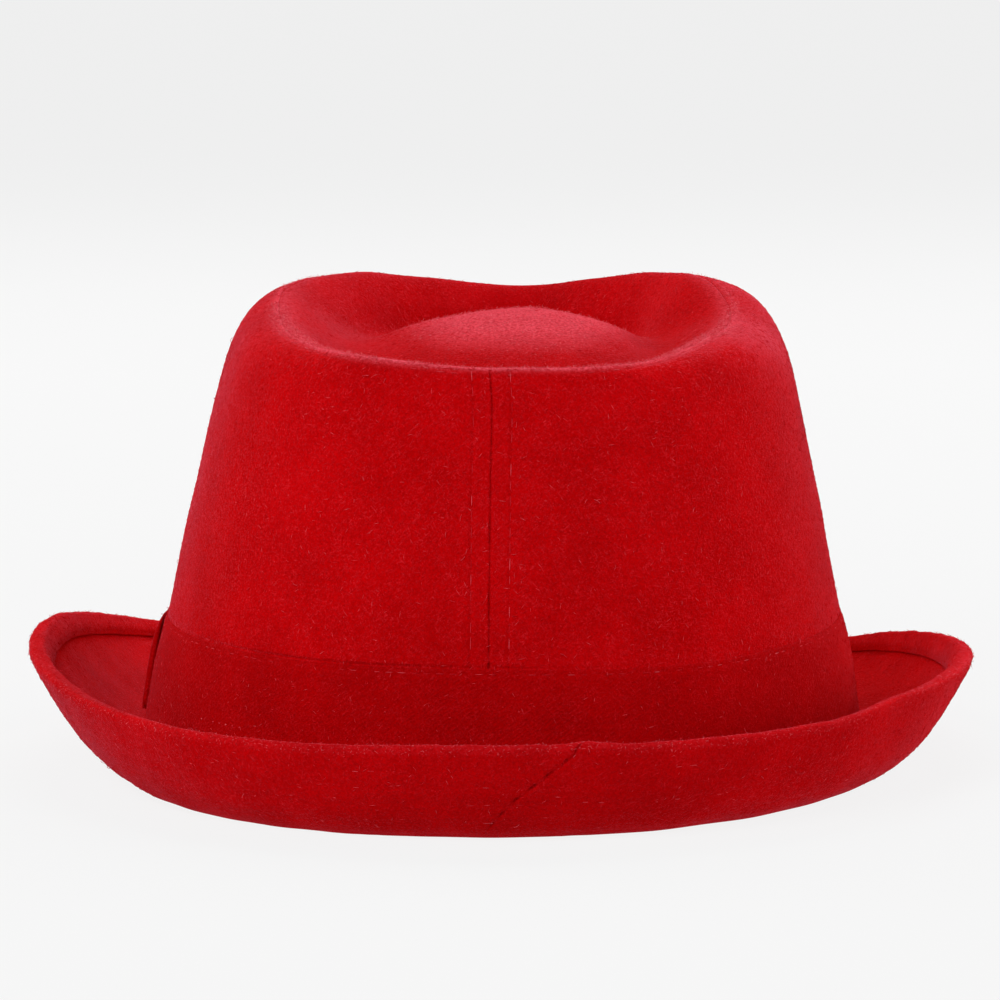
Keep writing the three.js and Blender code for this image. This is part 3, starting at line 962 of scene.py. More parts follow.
def felt_group() -> Tree:
    """The shader group for felted wool, built once.

    Returns:
        A group that gives the colour and the height of the nap from Object coordinates in metres, with a
        painted pale highlight mixed into the colour by its highlight share.
    """
    name = "felted_wool"
    if name in bpy.data.node_groups:
        return bpy.data.node_groups[name]
    tree = bpy.data.node_groups.new(name, "ShaderNodeTree")
    maker = TreeMaker(tree)
    maker.sockets("INPUT", Vector="Vector", Colour="Color", Shade="Color", Fleck="Color")
    maker.sockets("INPUT", Fleck_Share="Float", Bloom="Float", Bloom_Colour="Color")
    maker.sockets("OUTPUT", Colour="Color", Height="Float")
    given = maker.node("NodeGroupInput").outputs
    vector = given["Vector"]
    patch_scale, clump_scale, tuft_scale, hair_scale, hair_draw = 55.0, 1500.0, 330.0, 2700.0, 0.84
    broad = maker.noise(vector, patch_scale, 2.0)
    fine = maker.noise(vector, clump_scale, 3.0)
    hairs = 0.0
    for way in FIBRE_WAYS:
        level = maker.noise(maker.stretch(vector, way, hair_draw), hair_scale, 1.0)
        hairs = maker.math("MAXIMUM", hairs, maker.remap(level, 0.61, 0.8))
    clump = maker.line(fine, 0.6, maker.math("MULTIPLY", broad, 0.4))
    cloth = maker.blend(maker.remap(clump, 0.38, 0.62), given["Shade"], given["Colour"])
    tufts = maker.remap(maker.noise(vector, tuft_scale, 2.0), 0.3, 0.7)
    share = maker.math("MULTIPLY", given["Fleck Share"], maker.line(tufts, 1.1, 0.45))
    flecked = maker.blend(maker.math("MULTIPLY", hairs, share), cloth, given["Fleck"])
    # Painted highlight: a pale pink mixed into the colour by the highlight share, broken up by the fine
    # clumps.
    combed = maker.line(maker.remap(fine, 0.36, 0.64), 1.2, 0.4)
    highlight_share = maker.math("MULTIPLY", given["Bloom"], combed)
    highlighted = maker.blend(highlight_share, flecked, given["Bloom Colour"])
    height = maker.line(fine, 0.6, maker.math("MULTIPLY", hairs, 0.4))
    maker.node("NodeGroupOutput", {0: highlighted, 1: height})
    return tree


def twill_group() -> Tree:
    """The shader group for the slanted ribs of twill, built once.

    Returns:
        A group that gives the ribs' height from a map of the cloth in metres.
    """
    name = "twill_ribs"
    if name in bpy.data.node_groups:
        return bpy.data.node_groups[name]
    tree = bpy.data.node_groups.new(name, "ShaderNodeTree")
    maker = TreeMaker(tree)
    maker.sockets("INPUT", Vector="Vector", Pitch="Float", Slant="Float")
    maker.sockets("OUTPUT", Rib="Float")
    given = maker.node("NodeGroupInput").outputs
    split = maker.node("ShaderNodeSeparateXYZ", {0: given["Vector"]}).outputs
    across = maker.math("MULTIPLY", split[0], maker.math("SINE", given["Slant"]))
    up = maker.math("MULTIPLY", split[1], maker.math("COSINE", given["Slant"]))
    count = maker.math("DIVIDE", maker.math("SUBTRACT", up, across), given["Pitch"])
    wobble_scale, wobble_share = 260.0, 1.6
    wobble = maker.math("MULTIPLY", maker.noise(given["Vector"], wobble_scale, 2.0), wobble_share)
    turn = maker.math("MULTIPLY", maker.math("ADD", count, wobble), 2 * math.pi)
    maker.node("NodeGroupOutput", {0: maker.line(maker.math("SINE", turn), 0.5, 0.5)})
    return tree


def set_wool(shader: bpy.types.Node, roughness: float, specular: float, sheen: float) -> None:
    """Sets the fixed values of a wool shader.

    Args:
        shader: The shader.
        roughness: How dull it is.
        specular: How much it mirrors.
        sheen: How much its nap catches the light.
    """
    values = {
        "Roughness": roughness,
        "Specular IOR Level": specular,
        "Sheen Weight": sheen,
        "Sheen Roughness": SHEEN_ROUGHNESS,
        "Sheen Tint": SHEEN_TINT,
    }
    for name, value in values.items():
        shader.inputs[name].default_value = value


@dataclass(frozen=True)
class WoolFinish:
    """Felted wool cloth: mottled red with pale flecks and a raised nap, and slanted ribs if it is twill."""

    name: str
    colour: Colour
    shade: Colour
    fleck: Colour
    # Colour of the painted highlight: a pale pink that stands for lit wool seen aslant.
    bloom: Colour = (0.85, 0.09, 0.13, 1.0)
    fleck_share: float = 0.5
    roughness: float = 0.92
    sheen: float = 0.5
    specular: float = 0.01
    bump: float = 0.55
    bump_depth: float = 0.0005
    rib_share: float = 0.0
    rib_pitch: float = 0.0009
    rib_slant: float = 0.65

    def material(self) -> Material:
        """The finish as a material.

        Returns:
            A new material.
        """
        material = bpy.data.materials.new(self.name)
        material.use_nodes = True
        tree = material.node_tree
        maker = TreeMaker(tree)
        shader = tree.nodes["Principled BSDF"]
        place = maker.node("ShaderNodeTexCoord").outputs["Object"]
        felt = maker.node("ShaderNodeGroup", node_tree=felt_group())
        given = {
            "Vector": place,
            "Colour": self.colour,
            "Shade": self.shade,
            "Fleck": self.fleck,
            "Fleck Share": self.fleck_share,
            # The painted highlight share, read from the cloth's points.
            "Bloom": maker.node("ShaderNodeAttribute", attribute_name="bloom").outputs["Fac"],
            "Bloom Colour": self.bloom,
        }
        maker.fill(felt, given)
        colour, height = felt.outputs["Colour"], felt.outputs["Height"]
        if self.rib_share:
            weave = maker.node("ShaderNodeGroup", node_tree=twill_group())
            flat = maker.node("ShaderNodeUVMap", uv_map="cloth").outputs[0]
            maker.fill(weave, {"Vector": flat, "Pitch": self.rib_pitch, "Slant": self.rib_slant})
            # Painted shade: the twill's valleys are darkened in colour towards the shade tone, on top of
            # being lowered by the bump.
            painted_valley_shade = maker.math("MULTIPLY", maker.math("SUBTRACT", 1.0, weave.outputs[0]), self.rib_share)
            colour = maker.blend(painted_valley_shade, colour, self.shade)
            height = maker.math("ADD", height, maker.math("MULTIPLY", weave.outputs[0], 2 * self.rib_share))
        raised = {"Strength": self.bump, "Distance": self.bump_depth, "Height": height}
        bump = maker.node("ShaderNodeBump", raised)
        tree.links.new(colour, shader.inputs["Base Color"])
        tree.links.new(bump.outputs[0], shader.inputs["Normal"])
        set_wool(shader, self.roughness, self.specular, self.sheen)
        return material


@dataclass(frozen=True)
class FibreFinish:
    """Loose wool or thread whose colour goes from deep to pale from strand to strand."""

    name: str
    stops: tuple[tuple[float, Colour], ...]
    roughness: float = 0.85
    sheen: float = 0.5
    specular: float = 0.05

    def material(self) -> Material:
        """The finish as a material.

        Returns:
            A new material that reads the strands' shade attribute.
        """
        material = bpy.data.materials.new(self.name)
        material.use_nodes = True
        tree = material.node_tree
        maker = TreeMaker(tree)
        shader = tree.nodes["Principled BSDF"]
        shade = maker.node("ShaderNodeAttribute", attribute_name="shade").outputs["Fac"]
        ramp = maker.node("ShaderNodeValToRGB", {0: shade})
        for place, colour in self.stops[2:]:
            ramp.color_ramp.elements.new(place).color = colour
        for element, (place, colour) in zip(ramp.color_ramp.elements, self.stops):
            element.position = place
            element.color = colour
        tree.links.new(ramp.outputs[0], shader.inputs["Base Color"])
        set_wool(shader, self.roughness, self.specular, self.sheen)
        return material


@dataclass(frozen=True)
class Finishes:
    """The hat's finishes as materials, made once and shared by its pieces."""

    side: Material
    tip: Material
    band: Material
    bow: Material
    brim: Material
    nap: Material
    fuzz: Material
    thread: Material


def make_finishes() -> Finishes:
    """Makes the hat's materials.

    Returns:
        The finishes.
    """
    red, deep, pale = (0.57, 0.0006, 0.002, 1.0), (0.42, 0.0003, 0.0012, 1.0), (0.82, 0.024, 0.036, 1.0)
    # The tip's reds are darker than the side's to paint the dimmer light inside the dent: painted shade.
    tip_shaded_red, tip_shaded_deep = (0.505, 0.0005, 0.002, 1.0), (0.375, 0.0003, 0.0012, 1.0)
    # The band's reds are darker than the side's: partly the twill's own deeper tone and partly painted shade
    # cast by the upturned brim.
    band_dark_and_shaded_red, band_dark_and_shaded_deep = (0.46, 0.0004, 0.0013, 1.0), (0.34, 0.0002, 0.0009, 1.0)
    strands = (
        (0.0, (0.5, 0.0005, 0.002, 1.0)),
        (0.7, (0.58, 0.002, 0.005, 1.0)),
        (0.9, (0.7, 0.012, 0.022, 1.0)),
        (1.0, (0.84, 0.11, 0.14, 1.0)),
    )
    fuzz = (
        (0.0, (0.6, 0.015, 0.03, 1.0)),
        (0.5, (0.66, 0.05, 0.075, 1.0)),
        (1.0, (0.8, 0.2, 0.24, 1.0)),
    )
    threads = (
        (0.0, (0.54, 0.006, 0.012, 1.0)),
        (0.5, (0.64, 0.03, 0.045, 1.0)),
        (1.0, (0.74, 0.1, 0.13, 1.0)),
    )
    twill = WoolFinish(
        "band_twill", band_dark_and_shaded_red, band_dark_and_shaded_deep, pale, sheen=0.12, fleck_share=0.3, rib_share=0.085
    )
    return Finishes(
        side=WoolFinish("side_felt", red, deep, pale, sheen=0.42, fleck_share=0.42).material(),
        tip=WoolFinish("tip_felt", tip_shaded_red, tip_shaded_deep, pale, sheen=0.25, fleck_share=0.34).material(),
        band=twill.material(),
        bow=WoolFinish("bow_felt", band_dark_and_shaded_red, band_dark_and_shaded_deep, pale, sheen=0.12, fleck_share=0.3).material(),
        brim=WoolFinish("brim_felt", red, deep, pale, sheen=0.22, fleck_share=0.28).material(),
        nap=FibreFinish("wool_nap", strands).material(),
        fuzz=FibreFinish("wool_fuzz", fuzz).material(),
        thread=FibreFinish("sewing_thread", threads).material(),
    )


def signed(bearing: Array) -> Array:
    """Bearings between -180 and 180."""
    return np.mod(bearing + 180.0, 360.0) - 180.0


@dataclass
class Crown:
    """The crown: its tapered side with the back seam, and its dished tip. Sizes in mm."""

    form: CrownForm
    finishes: Finishes
    slot: str = "crown_wool"
    columns: Array = field(default_factory=lambda: bearings(330, -7.0, 7.0, 0.14))
    tip_start: float = Knot.SEAM + 0.06
    groove_depth: float = 0.6
    groove_width: float = 0.3
    allowance: float = 7.0
    allowance_rise: float = 0.25
    stitch_row: float = 4.4
    rim_row: float = 2.3
    edge_roll: float = 0.7
    roll_span: float = 0.14
    tip_rows: int = 68
    tip_ease: float = 4.5
    flange: float = 0.9
    seam_shift: tuple[float, float] = (-0.7, -0.35)
    seam_pitch: float = 2.4
    foot_drop: float = 1.3
    crease_depth: float = 0.46
    band_fill: float = 0.25
    crease_above: float = 0.01
    crease_bearing: float = -24.0
    lip_span: float = 85.0
    # Painted highlight: pale pink painted on the back lip where the side rolls into the rim seam, and on the
    # mound of the tip, standing for lit wool seen aslant.
    lip_highlight: float = 0.85
    mound_highlight: float = 0.42
    clumps: SoftLumps = SoftLumps(height=0.9, length=9.0, seed=17)
    seam_side: float = 30.0
    tug_depth: float = 0.35
    tug_width: float = 0.25
    row_depth: float = 0.22
    row_width: float = 0.5
    rim_depth: float = 0.16
    rim_width: float = 0.7
    shut_share: float = 0.92
    shut_span: float = 72.0
    crease_span: float = 34.0
    crease_width: float = 0.0155
    fill_width: float = 0.1
    lip_width: float = 0.24
    tip_lip_width: float = 0.06
    band_hides: float = 0.92
    ease_from: float = 150.0
    ease_span: float = 50.0
    ease_least: float = 0.2
    roll_rows: float = 3.0
    mound_from: float = 0.5
    mound_span: float = 0.2
    mound_bare: float = 0.75
    mound_fuzz: float = 0.12
    thread_lift: float = 0.06

    def seam_off(self, knot: Array) -> Array:
        """How far the back seam lies beside the middle of the back.

        Args:
            knot: Places along the ribs.

        Returns:
            Distances to the right, one for each place.
        """
        start, slant = self.seam_shift
        lean = self.form.lean - self.form.seam_lean
        return start + slant * (knot - Knot.BAND_TOP) + lean * np.maximum(knot - Knot.SHOULDER, 0)

    def rim_roll(self, bearing: Array) -> Array:
        """How far the edges roll down into the rim seam, which is pulled shut at the back."""
        return self.edge_roll * (1 - self.shut_share * bell(signed(bearing), self.shut_span))

    def rim_knots(self, bearing: Array) -> Array:
        """Where the row of stitches under the rim crosses the ribs.

        Args:
            bearing: Bearings in degrees.

        Returns:
            Places along the ribs, one for each bearing.
        """
        knots = self.form.knots(bearing)
        reach = np.linalg.norm(knots[:, Knot.SEAM] - knots[:, Knot.SHOULDER], axis=1)
        return Knot.SEAM - np.minimum(self.rim_row / reach, 0.6)

    def side_relief(self, bearing: Array, knot: Array) -> Array:
        """How far the side's face stands proud of the form: seam, stitch rows and rolled upper edge.

        Args:
            bearing: Bearings in degrees.
            knot: Places along the ribs.

        Returns:
            Heights in an array of bearings by places.
        """
        face = self.form.points(bearing, knot)
        across = np.abs(face[..., 0] - self.form.points(np.zeros(1), knot)[..., 0] - self.seam_off(knot))
        across = np.where(np.abs(signed(bearing))[:, None] < self.seam_side, across, 99.0)
        tug = np.cos(face[..., 2] * 2 * math.pi / self.seam_pitch)
        depth = self.groove_depth * (1 + self.tug_depth * tug)
        seam = -depth * bell(across, self.groove_width * (1 + self.tug_width * tug))
        pressed = self.allowance_rise / (1 + (across / self.allowance) ** 10)
        rows = -self.row_depth * bell(across - self.stitch_row, self.row_width)
        fade = np.clip((Knot.SEAM - knot) / 0.3, 0, 1)
        rim = -self.rim_depth * bell((knot[None] - self.rim_knots(bearing)[:, None]) * 10.0, self.rim_width)
        roll = np.clip((knot - (Knot.SEAM - self.roll_span)) / self.roll_span, 0, 1) ** 2
        open_share = bell(signed(bearing) - self.crease_bearing, self.crease_span)[:, None]
        above = knot[None] - self.form.band_edge(bearing)[:, None]
        crease = -self.crease_depth * open_share * bell(above - self.crease_above, self.crease_width)
        crease = crease + self.band_fill * (1 - open_share) * bell(above, self.fill_width)
        return seam + (pressed + rows) * fade + crease + rim - roll * self.rim_roll(bearing)[:, None]

    def build_side(self) -> Piece:
        """The side, from its foot behind the band to the seam with the tip.

        Returns:
            The object.
        """
        spans = ((0, self.band_hides, 6), (self.band_hides, 1.06, 28), (1.06, 3.4, 43))
        rows = [np.linspace(low, high, count, endpoint=False) for low, high, count in spans]
        outside = np.concatenate([*rows, np.linspace(3.4, Knot.SEAM, 24)])
        inside = np.linspace(Knot.SEAM, 0, 20)
        outer = self.form.offset(self.columns, outside, self.side_relief(self.columns, outside))
        inner = self.form.offset(self.columns, inside, -self.form.wall)
        nap = np.concatenate([np.where(outside < self.band_hides, 0.0, 1.0), 0 * inside])
        near = np.concatenate([bell(Knot.SEAM - outside, self.lip_width), 0 * inside])
        lip = bell(signed(self.columns), self.lip_span)[:, None] * near
        outlines = np.concatenate([outer, inner], 1)
        outlines[:, [0, -1], 2] -= self.foot_drop
        thick = np.clip(0.7 + self.clumps.at(outlines), 0, 3)
        # The back lip gets a painted highlight share as well as its fuzz.
        wear = Wear(nap=nap, fuzz=np.where(near > 0.2, lip, 0.0) * thick, bloom=self.lip_highlight * lip)
        return ring("crown_side_cloth", outlines, wear)

    def build_tip(self) -> Piece:
        """The tip, from the seam over the crest and the dent to the mound.

        Returns:
            The object.
        """
        turns = np.arange(0, 360, 1.0)
        rib = self.form.offset(turns, np.linspace(self.tip_start, Knot.MOUND - 0.05, 240), 0.0)
        sharp = evened(rib, self.tip_rows)
        share = np.clip((self.ease_from - np.abs(signed(turns))) / self.ease_span, self.ease_least, 1)
        top = mix(sharp, eased(sharp, self.tip_ease), share[:, None, None])
        edge = np.clip(1 - np.arange(self.tip_rows) / self.roll_rows, 0, 1) ** 2
        top[..., 2] -= edge * self.rim_roll(turns)[:, None]
        flange = top[:, :1] + self.flange * (unit(top[:, :1] - top[:, 1:2]) - np.array([0, 0, 1]))
        below = np.concatenate([top[:, ::-3] - np.array([0, 0, self.form.wall]), flange], 1)
        rows, hidden = np.arange(self.tip_rows) / (self.tip_rows - 1), np.zeros((len(turns), below.shape[1]))
        lip = bell(signed(turns), self.lip_span)[:, None] * bell(rows, self.tip_lip_width)
        mound = np.broadcast_to(np.clip((rows - self.mound_from) / self.mound_span, 0, 1), lip.shape)
        # The back lip and the mound get a painted highlight share.
        wear = Wear(
            nap=np.concatenate([1 - self.mound_bare * mound, hidden], 1),
            fuzz=np.concatenate([np.where(lip > 0.3, lip, self.mound_fuzz * mound), hidden], 1),
            bloom=np.concatenate([self.lip_highlight * lip + self.mound_highlight * mound, hidden], 1),
        )
        poles = np.stack([top[:, -1].mean(0), below[:, 0].mean(0)])
        return dish("crown_tip_cloth", top, below, poles, wear)

    def seam_path(self, side: float) -> Array:
        """A row of stitches beside the back seam.

        Args:
            side: -1 for the left row and 1 for the right one.

        Returns:
            Points of the row.
        """
        knot = np.linspace(Knot.BAND_TOP + 0.04, 3.45, 70)
        middle, beside = (self.form.points(np.array([turn]), knot)[0, :, 0] for turn in (0.0, side * 3.0))
        turn = 3.0 * (side * self.stitch_row + self.seam_off(knot)) / np.abs(beside - middle)
        return self.form.path(turn, knot, self.thread_lift)

    def rim_path(self) -> Array:
        """The row of stitches under the rim, once round."""
        turns = np.linspace(0, 360, 361)
        return self.form.path(turns, self.rim_knots(turns), -self.thread_lift)

    def build(self) -> None:
        """Builds and dresses the side, the tip, their stitches and their nap."""
        side, tip = self.build_side(), self.build_tip()
        settle(side, self.finishes.side, self.slot, "crown_side")
        settle(tip, self.finishes.tip, self.slot, "crown_tip")
        seam = Stitching(pitch=3.6, length=2.7, radius=0.085, kept=0.85, seed=3)
        sides = [self.seam_path(-1), self.seam_path(1)]
        seam.sew("crown_seam_stitches", sides, self.finishes.thread, self.slot)
        rim = Stitching(pitch=3.2, length=2.2, radius=0.09, kept=0.75, seed=8)
        rim.sew("crown_rim_stitches", [self.rim_path()], self.finishes.thread, self.slot)
        nap = LooseWool(Fibre.NAP, density=5.6e5, length=0.0013, width=0.0001, lift=0.11, seed=11)
        nap.grow(side, "crown_side_nap", self.finishes.nap, self.slot)
        nap.grow(tip, "crown_tip_nap", self.finishes.nap, self.slot)
        fuzz = LooseWool(Fibre.FUZZ, density=1.2e7, length=0.0008, width=0.00008, lift=1.0, seed=14)
        fuzz.grow(side, "crown_side_fuzz", self.finishes.fuzz, self.slot)
        fuzz.grow(tip, "crown_tip_fuzz", self.finishes.fuzz, self.slot)
        strays = LooseWool(Fibre.STRAY, density=2e3, length=0.0012, width=0.00009, lift=0.1, seed=13)
        strays.grow(side, "crown_strays", self.finishes.thread, self.slot)


@dataclass
class Band:
    """The band round the crown and its flat bow at the left. Sizes in mm."""

    form: CrownForm
    finishes: Finishes
    slot: str = "band_wool"
    columns: Array = field(default_factory=lambda: bearings(360, -1.0, 1.0, 0.5))
    wall: float = 1.2
    fold: float = 0.45
    foot_drop: float = 2.6
    foot_tuck: float = 0.5
    stitch_knot: float = 0.96
    bow_top: float = 0.9
    bow_taper: float = 0.7
    lint_turns: tuple[float, float] = (307.5, 317.0)
    lint_knot: float = 0.33
    knot_turns: tuple[float, float] = (243.5, 250.5)
    knot_shares: tuple[float, float] = (0.03, 1.0)
    knot_rise: float = 3.6
    edge_thin: float = 0.55
    edge_round: float = 0.4
    row_depth: float = 0.16
    row_width: float = 0.55
    thread_lift: float = 0.06

    def face(self, knot: Array) -> Array:
        """Distances of the band's outer face from the crown, pressed thin towards its upper edge.

        Args:
            knot: Shares of the band's height.

        Returns:
            One distance for each share.
        """
        over = np.clip((knot - (1 - self.fold)) / self.fold, 0, 1)
        thin = self.edge_thin * over * over * (3 - 2 * over)
        return GAP + self.wall * (1 - thin - self.edge_round * over**14)

    def build_band(self) -> Piece:
        """The band, from the brim up to its stitched edge.

        Returns:
            The object.
        """
        up = np.concatenate([[0.0], np.linspace(0, 0.84, 16, endpoint=False), np.linspace(0.84, 1, 14)])
        down = np.linspace(1, 0, 6)
        height = self.form.band_top - self.form.foot
        rows = -self.row_depth * bell((up - self.stitch_knot) * height, self.row_width)
        distance = np.concatenate([self.face(up) + rows, np.full_like(down, GAP)])
        share = np.concatenate([up, down])
        edges = self.form.band_edge(self.columns)
        pairs = zip(self.columns, edges)
        outlines = np.array([self.form.offset(np.array([b]), share * top, distance)[0] for b, top in pairs])
        outlines[:, share == 0, 2] -= self.foot_drop
        outlines[:, [0, -1], 2] -= self.foot_tuck
        wear = Wear(nap=np.concatenate([np.ones_like(up), 0 * down]))
        return ring("hat_band_cloth", outlines, wear)

    def over(self, bearing: Array, share: Array, distance: Array) -> Array:
        """Points over the band's outer face.

        Args:
            bearing: Bearings in degrees.
            share: Shares of the band's height, a row for each bearing.
            distance: Distances out from the band's face, a row for each bearing.

        Returns:
            Points in an array of bearings by shares.
        """
        sets = zip(bearing, share, GAP + self.wall + distance)
        return np.array([self.form.offset(np.array([b]), s, d)[0] for b, s, d in sets])

    def build_loop(self) -> Piece:
        """The bow's flat loop, folded double, with a slit between its layers at both edges.

        Returns:
            The object.
        """
        knots = np.array([224, 226, 234, 243, 251, 260, 268, 270.0])
        lifts = np.array([1.2, 1.2, 1.0, 0.3, 0.3, 0.6, 0.3, 0.3])
        thick = np.array([1.2, 2.0, 2.4, 1.8, 1.8, 2.0, 1.7, 1.3])
        feet = np.array([0.03, 0.03, 0.06, 0.13, 0.13, 0.06, 0.03, 0.03])
        runs = ((224, 226, 6), (226.8, 267.2, 46), (268, 270, 6))
        turns = np.concatenate([np.linspace(*run) for run in runs])
        lift, depth, low = (np.interp(turns, knots, values) for values in (lifts, thick, feet))
        angle = np.linspace(0, math.pi, 9)
        notch = 1 - 0.55 * bell(angle - math.pi / 2, 0.22)
        run = np.linspace(0.06, 0.94, 12)
        # Along the outer face, round the upper edge, back along the inner face and round the lower edge.
        bulge, turned = 0.05 * np.sin(angle) * notch, 0.5 * np.cos(angle)
        share = np.concatenate([run, 0.95 + bulge, run[::-1], 0.05 - bulge])
        level = np.concatenate([np.ones(12), 0.5 + turned, np.zeros(12), 0.5 - turned])
        shares = mix(low[:, None], self.bow_top, share)
        thin = 1 - self.bow_taper * np.clip((share - 0.7) / 0.3, 0, 1) ** 1.5
        outlines = self.over(turns, shares, (lift[:, None] + depth[:, None] * level) * thin)
        return strip("bow_loop_cloth", outlines, Wear())

    def build_knot(self) -> Piece:
        """The bow's knot, a strip whose ends turn in to the band.

        Returns:
            The object.
        """
        turns = np.linspace(*self.knot_turns, 24)
        edge = 1 - 0.12 * np.abs(np.linspace(-1, 1, 24)) ** 8
        low, high = self.knot_shares
        out = np.linspace(-1, 1, 34)
        outer = GAP + (self.knot_rise - GAP) * (1 - np.abs(out) ** 14)
        inner_out = np.linspace(0.9, -0.9, 20)
        inner = GAP + (self.knot_rise - GAP - self.wall) * (1 - np.abs(inner_out / 0.9) ** 14)
        share = low + (high - low) * (np.concatenate([out, inner_out]) + 1) / 2
        rise = np.concatenate([outer, inner])
        shares = np.broadcast_to(share, (24, len(share)))
        return strip("bow_knot_cloth", self.over(turns, shares, rise[None] * edge[:, None]), Wear())

    def build(self) -> None:
        """Builds and dresses the band, the bow, the edge stitches and the nap."""
        band, loop, knot = self.build_band(), self.build_loop(), self.build_knot()
        settle(band, self.finishes.band, self.slot, "hat_band")
        settle(loop, self.finishes.bow, self.slot, "bow_loop")
        settle(knot, self.finishes.bow, self.slot, "bow_knot")
        turns = np.linspace(0, 360, 361)
        level = self.face(np.array([self.stitch_knot])) - self.thread_lift
        path = self.form.path(turns, self.stitch_knot * self.form.band_edge(turns), level)
        edge = Stitching(pitch=3.0, length=1.9, radius=0.07, kept=0.6, seed=5)
        edge.sew("band_edge_stitches", [path], self.finishes.thread, self.slot)
        turns, height = np.linspace(*self.lint_turns, 20), np.array([self.lint_knot])
        path = self.form.offset(turns, height, self.face(height) + 0.05)[:, 0]
        lint = Stitching(pitch=2.4, length=0.5, radius=0.17, kept=0.9, seed=6)
        lint.sew("band_lint", [path], self.finishes.fuzz, self.slot)
        nap = LooseWool(Fibre.NAP, density=5.6e5, length=0.0011, width=0.0001, lift=0.11, seed=21)
        nap.grow(band, "hat_band_nap", self.finishes.nap, self.slot)
        nap.grow(loop, "bow_loop_nap", self.finishes.nap, self.slot)
        nap.grow(knot, "bow_knot_nap", self.finishes.nap, self.slot)


